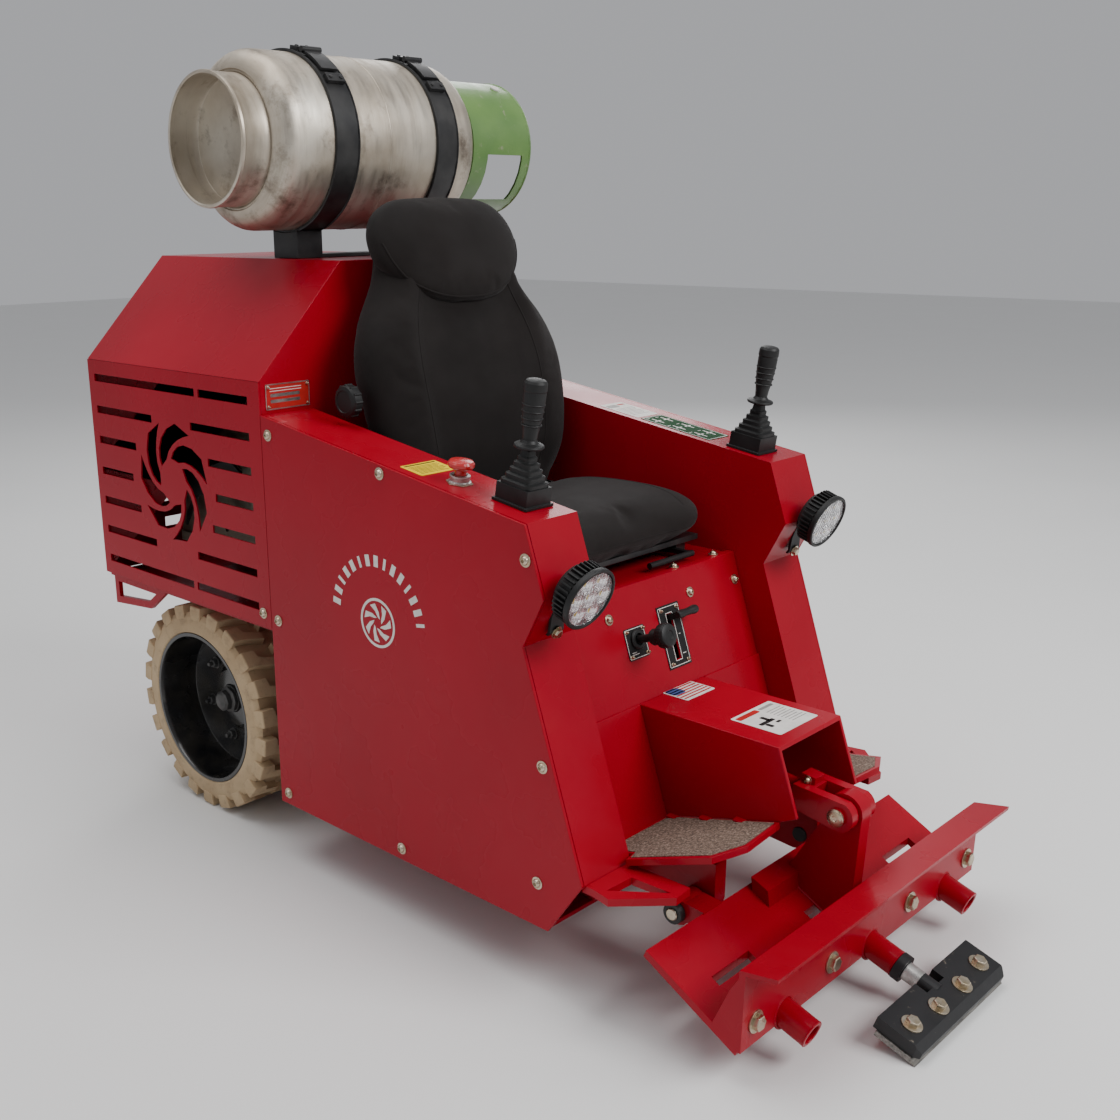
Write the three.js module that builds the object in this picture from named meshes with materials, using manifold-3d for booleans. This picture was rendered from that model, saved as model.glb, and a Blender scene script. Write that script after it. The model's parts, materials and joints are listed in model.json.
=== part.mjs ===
// Ride-on floor scraper with a gas cylinder carried behind the seat.
// Millimetres. +Z is up, the machine drives towards -Y and the driver's right is -X.
// Inside the model Y = 0 is the front wall of the engine housing; the last lines move the
// machine so that the origin is on the floor, under the middle of its bounding box.
import * as THREE from 'three';
import { mergeVertices } from 'three/addons/utils/BufferGeometryUtils.js';
import Module from 'manifold-3d';

const wasm = await Module();
wasm.setup();

// ---------------------------------------------------------------- driving dimensions
const GAP = 0.4;                 // air left between neighbouring pieces
const SHEET = 3;                 // folded sheet metal
const HALF_WIDTH = 330;          // half the body width
const POD_INNER = 229;           // inner wall of each side pod, from the centre line
const PAN_Z = 99;                // underside of the floor pan
const HOUSING = { length: 507.7, bottom: 397, side: 786, top: 958.8, topHalf: 162.4 };
const DECK_Z = 503;              // top of the seat deck
const RAIL_Z = 504;              // top of the two seat rails on the deck
const WHEEL = { y: 256.7, radius: 187.2, rimRadius: 137.2, outer: 309.3, width: 127 };
const CASTER = { x: 150, y: -430, radius: 37.5, width: 32, trail: 28 };
const CASTER_PLATE_Z = 92.6;     // underside of the caster mounting plates
const TANK = { y: 160, z: 1139.6, radius: 136.4, foot: -291, collarEnd: 327, collarRadius: 114 };
const BAND = { width: 48, thickness: 3, centres: [-119, 96] };
const PIVOT = { y: -700, z: 117, radius: 11.5 };       // head pivot shaft, along X
const ROD_PIN = { y: -840, z: 247, radius: 12 };       // rod fork pin, along X
const LIFT_ANGLE = THREE.MathUtils.degToRad(7);        // lift cylinder below level, going forward
const LIFT_LENGTH = 510;                               // rod pin to rear anchor pin, blade lowered
const ANCHOR = {                                       // rear pin of the lift cylinder, along X
  y: ROD_PIN.y + LIFT_LENGTH * Math.cos(LIFT_ANGLE),
  z: ROD_PIN.z + LIFT_LENGTH * Math.sin(LIFT_ANGLE),
  radius: 9.6,
};
const HEAD_HALF = 315;
const SHANK = { y: -927, z: 48, tilt: THREE.MathUtils.degToRad(18), radius: 12.9 };
const POD_SLOPE = Math.atan(0.1512);                   // fall of the pod tops towards the front
const PANEL_SLOPE = 0.342;                             // forward run of the front panel per mm of drop
const PANEL_TILT = -Math.atan(PANEL_SLOPE);
const THROTTLE = { x: 32, y: -446.5, z: 413, rest: THREE.MathUtils.degToRad(-25) };
const SIDES = { right: -1, left: 1 };

const podTop = (y) => 736.8 + 0.1512 * y;
const panelY = (z) => -497 - (470 - z) * PANEL_SLOPE;
const footZ = (y) => 180 + 0.289 * (-583 - y);

// The side outline of the body, from the bottom rear corner round the front to the top.
const BODY_OUTLINE = [
  [-GAP, PAN_Z], [-588.5, PAN_Z], [-647.7, 187.8], [-542.6, 492],
  [-578.3, 561.7], [-545.7, podTop(-545.7)], [-GAP, podTop(-GAP)],
];

// ---------------------------------------------------------------- materials
const finish = (color, roughness, metalness) => () =>
  new THREE.MeshStandardMaterial({ color, roughness, metalness });
const redPaint = finish(0xb4060f, 0.28, 0.1);
const blackPaint = finish(0x111112, 0.45, 0.2);
const blackPlastic = finish(0x141414, 0.6, 0);
const castIron = finish(0x3a3b3d, 0.6, 0.6);
const aluminium = finish(0xb9b6b0, 0.42, 0.85);
const greenPaint = finish(0x4c7a35, 0.45, 0.1);
const brass = finish(0xb08d45, 0.35, 0.9);
const zinc = finish(0xa9aaab, 0.35, 0.9);
const bladeSteel = finish(0x6f6d69, 0.4, 0.9);
const tanRubber = finish(0xb59a72, 0.85, 0);
const greyRubber = finish(0x2c2c2d, 0.8, 0);
const fabric = finish(0x1d1b1b, 0.95, 0);
const buttonRed = finish(0xc4181c, 0.35, 0);

// ---------------------------------------------------------------- solids
function signedVolume(geometry) {
  const position = geometry.getAttribute('position');
  const index = geometry.getIndex();
  const corners = [new THREE.Vector3(), new THREE.Vector3(), new THREE.Vector3()];
  let volume = 0;
  for (let i = 0; i < index.count; i += 3) {
    corners.forEach((corner, k) => corner.fromBufferAttribute(position, index.getX(i + k)));
    volume += corners[0].dot(corners[1].clone().cross(corners[2]));
  }
  return volume / 6;
}

function toSolid(geometry) {
  geometry.deleteAttribute('normal');
  geometry.deleteAttribute('uv');
  const closed = mergeVertices(geometry, 1e-3);
  const triVerts = new Uint32Array(closed.getIndex().array);
  if (signedVolume(closed) < 0) {
    for (let i = 0; i < triVerts.length; i += 3) {
      [triVerts[i], triVerts[i + 1]] = [triVerts[i + 1], triVerts[i]];
    }
  }
  const vertProperties = new Float32Array(closed.getAttribute('position').array);
  return new wasm.Manifold(new wasm.Mesh({ numProp: 3, vertProperties, triVerts }));
}

function toGeometry(solid) {
  const { vertProperties, triVerts } = solid.getMesh();
  const geometry = new THREE.BufferGeometry();
  geometry.setAttribute('position', new THREE.BufferAttribute(new Float32Array(vertProperties), 3));
  geometry.setIndex(new THREE.BufferAttribute(new Uint32Array(triVerts), 1));
  geometry.computeVertexNormals();
  return geometry;
}

const join = (...solids) => solids.reduce((sum, solid) => sum.add(solid));
const cut = (solid, ...tools) => tools.reduce((rest, tool) => rest.subtract(tool), solid);

function block(x, y, z) {
  const geometry = new THREE.BoxGeometry(
    Math.abs(x[1] - x[0]), Math.abs(y[1] - y[0]), Math.abs(z[1] - z[0]));
  geometry.translate((x[0] + x[1]) / 2, (y[0] + y[1]) / 2, (z[0] + z[1]) / 2);
  return toSolid(geometry);
}

// Prisms: an outline of [first, second] coordinates, pushed along the third axis.
const PRISM_BASIS = {
  x: [[0, 1, 0], [0, 0, 1], [1, 0, 0]],
  y: [[1, 0, 0], [0, 0, 1], [0, -1, 0]],
  z: [[1, 0, 0], [0, 1, 0], [0, 0, 1]],
};

function prism(axis, outline, from, to, holes = []) {
  const toPoints = (list) => list.map(([a, b]) => new THREE.Vector2(a, b));
  const contour = toPoints(outline);
  if (THREE.ShapeUtils.isClockWise(contour)) contour.reverse();
  const shape = new THREE.Shape(contour);
  holes.forEach((hole) => shape.holes.push(new THREE.Path(toPoints(hole))));
  const low = Math.min(from, to);
  const depth = Math.abs(to - from);
  const geometry = new THREE.ExtrudeGeometry(shape, { depth, bevelEnabled: false });
  const [right, up, out] = PRISM_BASIS[axis].map((v) => new THREE.Vector3(...v));
  geometry.applyMatrix4(new THREE.Matrix4().makeBasis(right, up, out));
  const start = axis === 'y' ? low + depth : low;
  geometry.translate(...['x', 'y', 'z'].map((name) => (name === axis ? start : 0)));
  return toSolid(geometry);
}

const AXIS_TURN = { x: [0, 0, -Math.PI / 2], y: [0, 0, 0], z: [Math.PI / 2, 0, 0] };

// A turned piece: profile of [distance along the axis, radius].
function turned(axis, profile, centre = [0, 0, 0], segments = 28) {
  const points = profile.map(([along, radius]) => new THREE.Vector2(radius, along));
  const geometry = new THREE.LatheGeometry(points, segments);
  const [rx, ry, rz] = AXIS_TURN[axis];
  geometry.rotateX(rx).rotateY(ry).rotateZ(rz);
  geometry.translate(...centre);
  return toSolid(geometry);
}

const rod = (axis, radius, from, to, centre, segments) =>
  turned(axis, [[from, 0], [from, radius], [to, radius], [to, 0]], centre, segments);

const ring = (axis, inner, outer, from, to, centre, segments) =>
  turned(axis, [[from, inner], [from, outer], [to, outer], [to, inner], [from, inner]],
    centre, segments);

// Moves every edge of an outline inwards by a distance.
function inset(outline, distance) {
  const area = outline.reduce((sum, [x, y], i) => {
    const [nx, ny] = outline[(i + 1) % outline.length];
    return sum + x * ny - nx * y;
  }, 0);
  const turn = Math.sign(area) * distance;
  return outline.map((point, i) => {
    const before = outline[(i + outline.length - 1) % outline.length];
    const after = outline[(i + 1) % outline.length];
    const a = new THREE.Vector2(point[0] - before[0], point[1] - before[1]).normalize();
    const b = new THREE.Vector2(after[0] - point[0], after[1] - point[1]).normalize();
    const scale = turn / (1 + a.dot(b));
    return [point[0] - (a.y + b.y) * scale, point[1] + (a.x + b.x) * scale];
  });
}

// A folded sheet along X: the outside line of the section and the thickness under it.
function foldedSheet(line, thickness, from, to) {
  const under = line.map((point, i) => {
    const before = line[Math.max(i - 1, 0)];
    const after = line[Math.min(i + 1, line.length - 1)];
    const a = new THREE.Vector2(point[0] - before[0], point[1] - before[1]);
    const b = new THREE.Vector2(after[0] - point[0], after[1] - point[1]);
    const first = (a.length() > 0 ? a : b).clone().normalize();
    const second = (b.length() > 0 ? b : a).clone().normalize();
    const scale = thickness / (1 + first.dot(second));
    return [point[0] - (first.y + second.y) * scale, point[1] + (first.x + second.x) * scale];
  });
  return prism('x', [...line, ...under.reverse()], from, to);
}

const arc = (cx, cy, radius, from, to, steps) =>
  Array.from({ length: steps + 1 }, (_, i) => {
    const angle = THREE.MathUtils.degToRad(from + ((to - from) * i) / steps);
    return [cx + radius * Math.cos(angle), cy + radius * Math.sin(angle)];
  });

function node(name, solid, material) {
  const mesh = new THREE.Mesh(toGeometry(solid), material());
  mesh.name = name;
  return mesh;
}

function placed(position, turnX, ...children) {
  const group = new THREE.Group();
  group.position.set(...position);
  group.rotation.x = turnX;
  group.add(...children);
  return group;
}

// ---------------------------------------------------------------- chassis and body
function chassisFrame() {
  const inside = HALF_WIDTH - 6;
  const floor = block([-inside, inside], [-585, -GAP], [PAN_Z, PAN_Z + 6]);
  const rearPlate = block([-150, 150], [494, 500], [PAN_Z, HOUSING.bottom - 3]);
  const topDeck = block([-inside, inside], [4, 503], [HOUSING.bottom - 6.5, HOUSING.bottom - GAP]);
  const between = POD_INNER - GAP;
  const bulkhead = block([-between, between], [-14, -8], [PAN_Z, HOUSING.bottom - GAP]);
  const deckLip = block([-between, between], [-10, 6], [HOUSING.bottom - 6.5, HOUSING.bottom - GAP]);
  const nosePlate = prism('x', [[-585, PAN_Z], [-592, 183], [-586, 183], [-579, PAN_Z]], -228, 228);
  const rails = [-1, 1].map((side) =>
    block([side * 142, side * 150], [-10, 500], [PAN_Z, HOUSING.bottom - 3]));
  const bracket = [[-580, 100], [-690, 91], [-722, 98], [-728, 120], [-728, 178], [-588, 178]];
  const brackets = [-1, 1].map((side) => cut(
    prism('x', bracket, side * 120, side * 145),
    rod('x', PIVOT.radius + GAP, -160, 160, [0, PIVOT.y, PIVOT.z])));
  const loop = [[495, 394], [495, 338], [375, 350], [315, 394]];
  const loops = [-1, 1].map((side) =>
    prism('x', loop, side * 314, side * 322, [inset(loop, 13)]));
  const casterPlates = [-1, 1].map((side) => block([side * CASTER.x - 36, side * CASTER.x + 36],
    [CASTER.y - 40, CASTER.y + 40], [CASTER_PLATE_Z, PAN_Z + 1]));
  const anchor = [[-368, PAN_Z + 2], [-298, PAN_Z + 2], [-315, 331], [-353, 331]];
  const anchors = [-1, 1].map((side) => prism('x', anchor, side * 16, side * 22));
  const anchorPin = rod('x', ANCHOR.radius, -26, 26, [0, ANCHOR.y, ANCHOR.z], 16);
  return join(floor, rearPlate, topDeck, bulkhead, deckLip, nosePlate, ...rails, ...brackets,
    ...loops, ...casterPlates, ...anchors, anchorPin);
}

const sidePanel = (side) =>
  prism('x', BODY_OUTLINE, side * (HALF_WIDTH - 5), side * HALF_WIDTH);

// The pod is a deep pan: inner wall, sloping top and folded front, closed by the side panel.
function podCover(side) {
  const outline = BODY_OUTLINE.map(([y, z]) => [y, Math.max(z, PAN_Z + 7)]);
  const open = BODY_OUTLINE.map(([y, z]) => [y === -GAP ? 40 : y, z === PAN_Z ? 0 : z]);
  open[open.length - 1][1] = podTop(40);
  const shell = cut(
    prism('x', outline, side * POD_INNER, side * (HALF_WIDTH - 5 - GAP)),
    prism('x', inset(open, SHEET), side * (POD_INNER + SHEET), side * HALF_WIDTH));
  const stopHole = rod('z', 9.5, -30, 30, [side * 285, -385, podTop(-385)]);
  const loop = [[322, -641], [322, -660], [328, -689], [265, -751], [232, -748], [234, -641]];
  const hole = [[312, -674], [263, -676], [260, -738]];
  const onSide = (points) => points.map(([x, y]) => [side * x, y]);
  const tieLoop = prism('z', onSide(loop), 176, 187, [onSide(hole)]);
  const tab = prism('x', [[-642, 176], [-648, 187.5], [-660, 187], [-660, 176]],
    side * 236, side * 318);
  const cover = side === SIDES.right ? cut(shell, stopHole) : shell;
  return join(cover, tieLoop, tab);
}

function frontPanel() {
  const width = POD_INNER - GAP;
  const bottom = 186.6;
  const line = [[-474, DECK_Z], [-487, DECK_Z], [-497, 470], [panelY(bottom), bottom]];
  const sheet = foldedSheet(line, SHEET, -width, width);
  const liftOpening = block([-70, 70], [-640, -500], [180, 335]);
  const throttleSlot = block([26, 38], [-560, -480], [380, 446]);
  const chokeHole = rod('y', 8.5, -60, 60, [-51, panelY(427.6), 427.6], 20);
  return cut(sheet, liftOpening, throttleSlot, chokeHole);
}

function seatDeck() {
  const width = POD_INNER - GAP;
  const plate = block([-width, width], [-482, -6], [DECK_Z - 9, DECK_Z - SHEET - GAP]);
  const rails = [-1, 1].map((side) =>
    block([side * 146, side * 179], [-440, -50], [DECK_Z - 5, RAIL_Z]));
  return join(plate, ...rails);
}

// Open-fronted cover over the lift cylinder.
function frontBox() {
  const rear = GAP + 0.4;
  const low = 184;
  const outline = [[panelY(343) - rear, 343], [-774.6, 343], [-808, 249.5], [-786, 238.5],
    [panelY(low) - rear, low]];
  const inner = [[-400, 337], [-900, 337], [-900, 100], [-400, 100]];
  return cut(prism('x', outline, -80.2, 80.2), prism('x', inner, -74.2, 74.2));
}

// Foot plate: a tread that climbs to the front, a short edge flange and a flange up the panel.
function footPlate(side) {
  const tread = [[80.8, -597], [228, -597], [228, -651], [250, -656], [220, -771],
    [172, -794], [80.8, -784]];
  const pocket = inset(tread, 4).map(([x, y], i) => {
    if (i === 0) return [60, -560];
    if (i === 1) return [x, -560];
    return i === 6 ? [60, y] : [x, y];
  });
  const onSide = (points) => points.map(([x, y]) => [side * x, y]);
  const flat = cut(prism('z', onSide(tread), -10, 0), prism('z', onSide(pocket), -20, -4));
  const slope = new THREE.Matrix4().set(1, 0, 0, 0, 0, 1, 0, 0, 0, -0.289, 1, footZ(0), 0, 0, 0, 1);
  const treadSolid = toSolid(toGeometry(flat).applyMatrix4(slope));
  const top = 343;
  const low = 181.5;
  const flange = prism('x', [[panelY(top) - GAP, top], [panelY(top) - GAP - SHEET, top],
    [panelY(low) - GAP - SHEET, low], [panelY(low) - GAP, low]], side * 80.8, side * 228);
  return join(treadSolid, flange);
}

// ---------------------------------------------------------------- engine housing
const hoodSection = (margin) => [
  [-HALF_WIDTH + margin, HOUSING.bottom], [-HALF_WIDTH + margin, HOUSING.side],
  [-HOUSING.topHalf, HOUSING.top], [HOUSING.topHalf, HOUSING.top],
  [HALF_WIDTH - margin, HOUSING.side], [HALF_WIDTH - margin, HOUSING.bottom],
];

function hoodShell() {
  const outer = prism('y', hoodSection(0), 0, HOUSING.length);
  const hollow = inset(hoodSection(0), SHEET).map(([x, z]) => [x, z < 500 ? 300 : z]);
  const grilleSeats = [-1, 1].map((side) =>
    block([side * (HALF_WIDTH - SHEET - GAP), side * 400], [-5, 600], [300, HOUSING.side + GAP]));
  const rearVents = [0, 1, 2, 3, 4, 5].map((row) =>
    block([-200, 200], [480, 530], [460 + 48 * row, 478 + 48 * row]));
  return cut(outer, prism('y', hollow, SHEET, HOUSING.length - SHEET), ...grilleSeats, ...rearVents);
}

// One swirl blade opening, drawn between two spirals round the fan centre.
function swirlOpening(turn) {
  const { y, z } = { y: WHEEL.y, z: 598.4 };
  const steps = 5;
  const spiral = (half, t) => {
    const angle = turn + 1.05 * t + half * (0.10 + 0.25 * Math.sin(Math.PI * (0.25 + 0.6 * t)));
    const radius = 40 + 62 * t;
    return [y + radius * Math.cos(angle), z + radius * Math.sin(angle)];
  };
  const out = Array.from({ length: steps + 1 }, (_, i) => spiral(1, i / steps));
  const back = Array.from({ length: steps + 1 }, (_, i) => spiral(-1, 1 - i / steps));
  return [...out, ...back];
}

// Ventilated side of the housing: seven rows of slots round a swirl of blade openings.
function grillePanel(side) {
  const slotHeight = 13;
  const through = [side * 320, side * 340];
  const outer = { rear: 488, front: 31 };
  const rows = [
    [762, 165, 176], [706, 310, 194], [652, 367, 149], [596, 384, 133],
    [542.5, 366, 147], [488.5, 324, 197], [434, 216, 205],
  ];
  const slots = rows.flatMap(([z, rearEnd, frontEnd]) => {
    const low = Math.min(rearEnd, frontEnd);
    const high = Math.max(rearEnd, frontEnd);
    return [[outer.front, low], [high, outer.rear]].map(([from, to]) =>
      block(through, [from, to], [z - slotHeight, z]));
  });
  const swirl = Array.from({ length: 7 }, (_, i) =>
    prism('x', swirlOpening((2 * Math.PI * i) / 7), ...through));
  const panel = block([side * (HALF_WIDTH - SHEET), side * HALF_WIDTH], [0, HOUSING.length],
    [HOUSING.bottom, HOUSING.side]);
  return cut(panel, ...slots, ...swirl);
}

function engineBlock() {
  const crankcase = block([-120, 90], [150, 400], [HOUSING.bottom, 600]);
  const head = block([-95, 65], [170, 380], [590, 720]);
  const valveCover = block([-75, 45], [185, 365], [710, 748]);
  const filter = rod('x', 58, -110, 70, [0, 330, 800], 24);
  const intake = block([-45, 15], [300, 350], [735, 780]);
  return join(crankcase, head, valveCover, intake, filter);
}

function hydraulicPump() {
  const flange = rod('y', 62, 118, 149, [0, 0, 500], 24);
  const body = block([-45, 45], [40, 125], [455, 545]);
  const ports = rod('x', 20, -70, 70, [0, 80, 500], 16);
  return join(flange, body, ports);
}

const hydraulicTank = () => block([130, 310], [60, 420], [HOUSING.bottom, 740]);

function oilCooler() {
  const core = block([-238, -200], [130, 385], [475, 725]);
  const tanks = [block([-242, -196], [130, 385], [462, 480]), block([-242, -196], [130, 385], [720, 738])];
  return join(core, ...tanks);
}

function coolingFan() {
  const centre = [0, WHEEL.y, 598.4];
  const hub = rod('x', 30, -285, -255, centre, 20);
  const blades = Array.from({ length: 5 }, (_, i) => {
    const geometry = new THREE.BoxGeometry(4, 34, 78);
    geometry.rotateZ(0.6).translate(0, 0, 62).rotateX((2 * Math.PI * i) / 5);
    geometry.translate(-270, centre[1], centre[2]);
    return toSolid(geometry);
  });
  return join(hub, ...blades);
}

// ---------------------------------------------------------------- gas cylinder on its cradle
function gasCylinder() {
  const { radius: r, foot } = TANK;
  const dome = (from, length, sign, least) => Array.from({ length: 7 }, (_, i) => {
    const t = (Math.PI / 2) * (i / 6);
    return [from + sign * length * Math.sin(t), least + (r - least) * Math.cos(t)];
  });
  const rightDome = dome(-203, 42, -1, 60).slice(0, 4).reverse();
  const leftDome = dome(140, 62, 1, 30);
  const profile = [
    [-226, 0], [-232, 50], [-240, 95], [foot, 95], [foot, 100.7], [-233, 100.7],
    ...rightDome, ...leftDome, [214, 30], [214, 0],
  ];
  return turned('x', profile, [0, TANK.y, TANK.z], 36);
}

// Guard round the valve, cut away on both sides to leave hand holds.
function cylinderCollar() {
  const { collarRadius: r, collarEnd } = TANK;
  const at = [0, TANK.y, TANK.z];
  const neck = ring('x', 31, r - 2, 202 + GAP, 206, at, 32);
  const guard = ring('x', r - 4, r, 182, collarEnd, at, 32);
  const hold = block([218, 305], [-100, 400], [TANK.z - 88, TANK.z - 14]);
  return cut(join(guard, neck), hold);
}

function cylinderValve() {
  const at = [0, TANK.y, TANK.z];
  const body = rod('x', 15, 214 + GAP, 262, at, 20);
  const outlet = rod('y', 11, 0, 44, [238, TANK.y, TANK.z], 16);
  return join(body, outlet);
}

function valveHandwheel() {
  const at = [0, TANK.y, TANK.z];
  const rim = ring('x', 22, 28, 270, 280, at, 24);
  const hub = rod('x', 8, 262 + GAP, 280, at, 16);
  const spokes = [0, 1].map((i) => {
    const geometry = new THREE.BoxGeometry(5, 50, 7).rotateX((Math.PI / 2) * i);
    return toSolid(geometry.translate(275, TANK.y, TANK.z));
  });
  return join(rim, hub, ...spokes);
}

// Steel strap round the cylinder, with the keeper that its latch closes on.
function tankBand(centre) {
  const half = BAND.width / 2;
  const inner = TANK.radius + GAP;
  return ring('x', inner, inner + BAND.thickness, centre - half, centre + half,
    [0, TANK.y, TANK.z], 36);
}

// Over-centre latch plate lying along the band, on the front of the cylinder's upper side.
function bandLatch(centre) {
  const reach = TANK.radius + BAND.thickness + 2 * GAP + 0.8;
  const plate = [...arc(0, 0, reach + 5, 112, 134, 4), ...arc(0, 0, reach, 134, 112, 4)];
  const lever = prism('x', plate.map(([y, z]) => [TANK.y + y, TANK.z + z]), centre - 16, centre + 16);
  const pin = rod('x', 5, centre - 19, centre + 19, latchPivot(), 12);
  return join(lever, pin);
}

function latchPivot() {
  const angle = THREE.MathUtils.degToRad(112);
  const reach = TANK.radius + BAND.thickness + 7.2;
  return [0, TANK.y + reach * Math.cos(angle), TANK.z + reach * Math.sin(angle)];
}

function tankCradle() {
  const floor = HOUSING.top + GAP;
  const half = { x: 26, y: 32 };
  const [first, last] = BAND.centres;
  const posts = BAND.centres.map((centre) =>
    block([centre - half.x, centre + half.x], [TANK.y - half.y, TANK.y + half.y],
      [floor, TANK.z - 100]));
  const rail = block([first, last], [TANK.y - half.y + 6, TANK.y + half.y - 6], [floor, floor + 6]);
  const saddle = rod('x', TANK.radius + BAND.thickness + 2 * GAP, -250, 250, [0, TANK.y, TANK.z], 36);
  return cut(join(...posts, rail), saddle);
}

// ---------------------------------------------------------------- wheels
function wheelRim(side) {
  const r = WHEEL.rimRadius - GAP;
  const outer = WHEEL.outer - 1;
  const inner = WHEEL.outer - WHEEL.width + 1;
  const profile = [
    [outer, r], [inner, r], [inner, r - 6], [226, r - 6], [226, 46], [212, 44], [212, 25.6],
    [244, 25.6], [244, 40], [236, 46], [236, r - 6], [outer, r - 6], [outer, r],
  ];
  return turned('x', profile.map(([x, radius]) => [side * x, radius]), [0, WHEEL.y, WHEEL.radius], 40);
}

function tyre(side) {
  const { rimRadius, radius, outer, width } = WHEEL;
  const inner = outer - width;
  const profile = [
    [inner, rimRadius], [inner, 177], [inner + 8, radius], [outer - 8, radius],
    [outer, 177], [outer, rimRadius], [inner, rimRadius],
  ];
  return turned('x', profile.map(([x, r]) => [side * x, r]), [0, WHEEL.y, WHEEL.radius], 40);
}

function wheelMotor(side) {
  const at = [0, WHEEL.y, WHEEL.radius];
  const flange = rod('x', 62, side * 150.4, side * 164, at, 28);
  const body = rod('x', 52, side * 160, side * 190, at, 28);
  const shaft = rod('x', 25, side * 185, side * 246, at, 24);
  return join(flange, body, shaft);
}

function casterFork(side) {
  const { x, y, radius, width, trail } = CASTER;
  const axleY = y + trail;
  const king = rod('z', 24, 2 * radius + 6, CASTER_PLATE_Z - GAP, [side * x, y, 0], 20);
  const crown = block([side * x - 24, side * x + 24], [y - 24, y + 30],
    [2 * radius + 2, 2 * radius + 8]);
  const leg = [[axleY - 12, radius - 10], [axleY + 12, radius - 10], [axleY + 14, 2 * radius + 8],
    [y - 22, 2 * radius + 8]];
  const legs = [-1, 1].map((hand) => {
    const near = side * x + hand * (width / 2 + 2);
    return prism('x', leg, near, near + hand * 4);
  });
  const axle = rod('x', 6, side * x - 22, side * x + 22, [0, axleY, radius], 14);
  return join(king, crown, ...legs, axle);
}

function casterWheel(side) {
  const { x, y, radius, width, trail } = CASTER;
  const at = [side * x, y + trail, radius];
  const profile = [
    [-width / 2, 6.4], [-width / 2, radius - 3], [-width / 2 + 3, radius],
    [width / 2 - 3, radius], [width / 2, radius - 3], [width / 2, 6.4], [-width / 2, 6.4],
  ];
  return turned('x', profile, at, 32);
}

// ---------------------------------------------------------------- seat
function seatPan() {
  const pan = block([-195, 195], [-440, -95], [522, 531]);
  const runners = [-1, 1].map((side) =>
    block([side * 150, side * 175], [-430, -100], [RAIL_Z + GAP, 524]));
  const hinges = [-1, 1].map((side) =>
    prism('x', [[-150, 524], [-100, 524], [-100, 575], [-130, 575]], side * 188, side * 195));
  return join(pan, ...runners, ...hinges);
}

function seatCushion() {
  const side = [[-198, 532], [-462, 532], [-472, 562], [-458, 596], [-405, 612], [-198, 602]];
  const plan = prism('z', [[-212, -198], [-216, -300], [-208, -420], [-175, -470], [175, -470],
    [208, -420], [216, -300], [212, -198]], 500, 640);
  return plan.intersect(prism('x', side, -230, 230));
}

// Backrest with its headrest: a front outline leaned back and rounded in section.
function backrest() {
  const half = [[165, 545], [195, 600], [212, 680], [222, 750], [224, 790], [216, 840], [188, 895],
    [160, 940], [154, 985], [146, 1022], [112, 1046], [58, 1057]];
  const outline = [...half, ...half.map(([x, z]) => [-x, z]).reverse()];
  const section = [[-90, 545], [-172, 560], [-178, 604], [-190, 645], [-184, 720], [-160, 820],
    [-124, 915], [-108, 985], [-92, 1030], [-55, 1057], [-8, 1044], [-8, 960], [-22, 900], [-60, 700]];
  return prism('y', outline, -240, 10).intersect(prism('x', section, -230, 230));
}

// Round knob on the driver's right of the backrest, turned about X.
const lumbarKnob = () => turned('x',
  [[-255, 0], [-255, 22], [-251, 26], [-238, 26], [-234, 22], [-234, 6], [-226, 6], [-226, 0]],
  [0, -108, 759], 24);

// Slide release: a cross bar under the front of the seat and its arm on the left runner.
function seatLever() {
  const bar = rod('x', 5, 40, 150, [0, -462, 511], 12);
  return join(bar, block([138, 148], [-464, -425], [507, 515]));
}

// ---------------------------------------------------------------- controls
function joystickBase() {
  const body = block([-24, 24], [-28, 28], [GAP, 26]);
  const flange = block([-27, 27], [-31, 31], [GAP, 4]);
  return cut(join(body, flange), rod('z', 21, 8, 27, [0, 0, 0], 20));
}

const joystickGimbal = () => ring('z', 7.5, 12, 12, 20, [0, 0, 0], 20);

// Lever, stepped rubber boot, hand stop and grip, turned about the lever's own axis.
function joystickLever() {
  const steps = [0, 1, 2].flatMap((i) => {
    const base = 26 + 14 * i;
    const radius = 14 - 2.4 * i;
    return [[base, radius], [base + 8, radius], [base + 14, radius - 5]];
  });
  const grip = [[76, 7], [76, 19], [82, 19], [82, 11], [96, 12.5], [130, 15], [152, 15.5],
    [162, 11], [165, 0]];
  const profile = [[11, 0], [11, 5], [26, 5], ...steps, ...grip];
  return turned('z', profile, [0, 0, 0], 16);
}

const estopButton = () => turned('z',
  [[-10, 0], [-10, 8], [14, 8], [14, 14], [17, 17.5], [26, 17.5], [30, 12], [30, 0]],
  [0, 0, 0], 24);

// Push-pull control: shaft through the panel, collar and large knob, along -Y of the panel.
const chokeKnob = () => turned('y',
  [[30, 0], [30, 6], [-30, 6], [-30, 12], [-46, 17.5], [-60, 17.5], [-64, 12], [-64, 0]],
  [0, 0, 0], 24);

function throttleLever() {
  const blade = block([-2.5, 2.5], [-90, 4], [-5, 5]);
  const handle = rod('x', 6.5, -6, 42, [0, -88, 0], 14);
  const hub = rod('x', 9, -4, 4, [0, 0, 0], 16);
  return join(blade, handle, hub);
}

// Round work lamp: lens rim at y = 0, finned housing behind it and the arm of its stirrup.
function workLight() {
  const profile = [[0, 0], [0, 40], [-3, 40.5], [-3, 44], [14, 44], [26, 40], [36, 34], [36, 0]];
  const lamp = turned('y', profile, [0, 0, 0], 28);
  const arm = prism('x', [[14, -30], [26, -24], [42, -62], [34, -70]], -13, 13);
  return join(lamp, arm);
}

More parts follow.
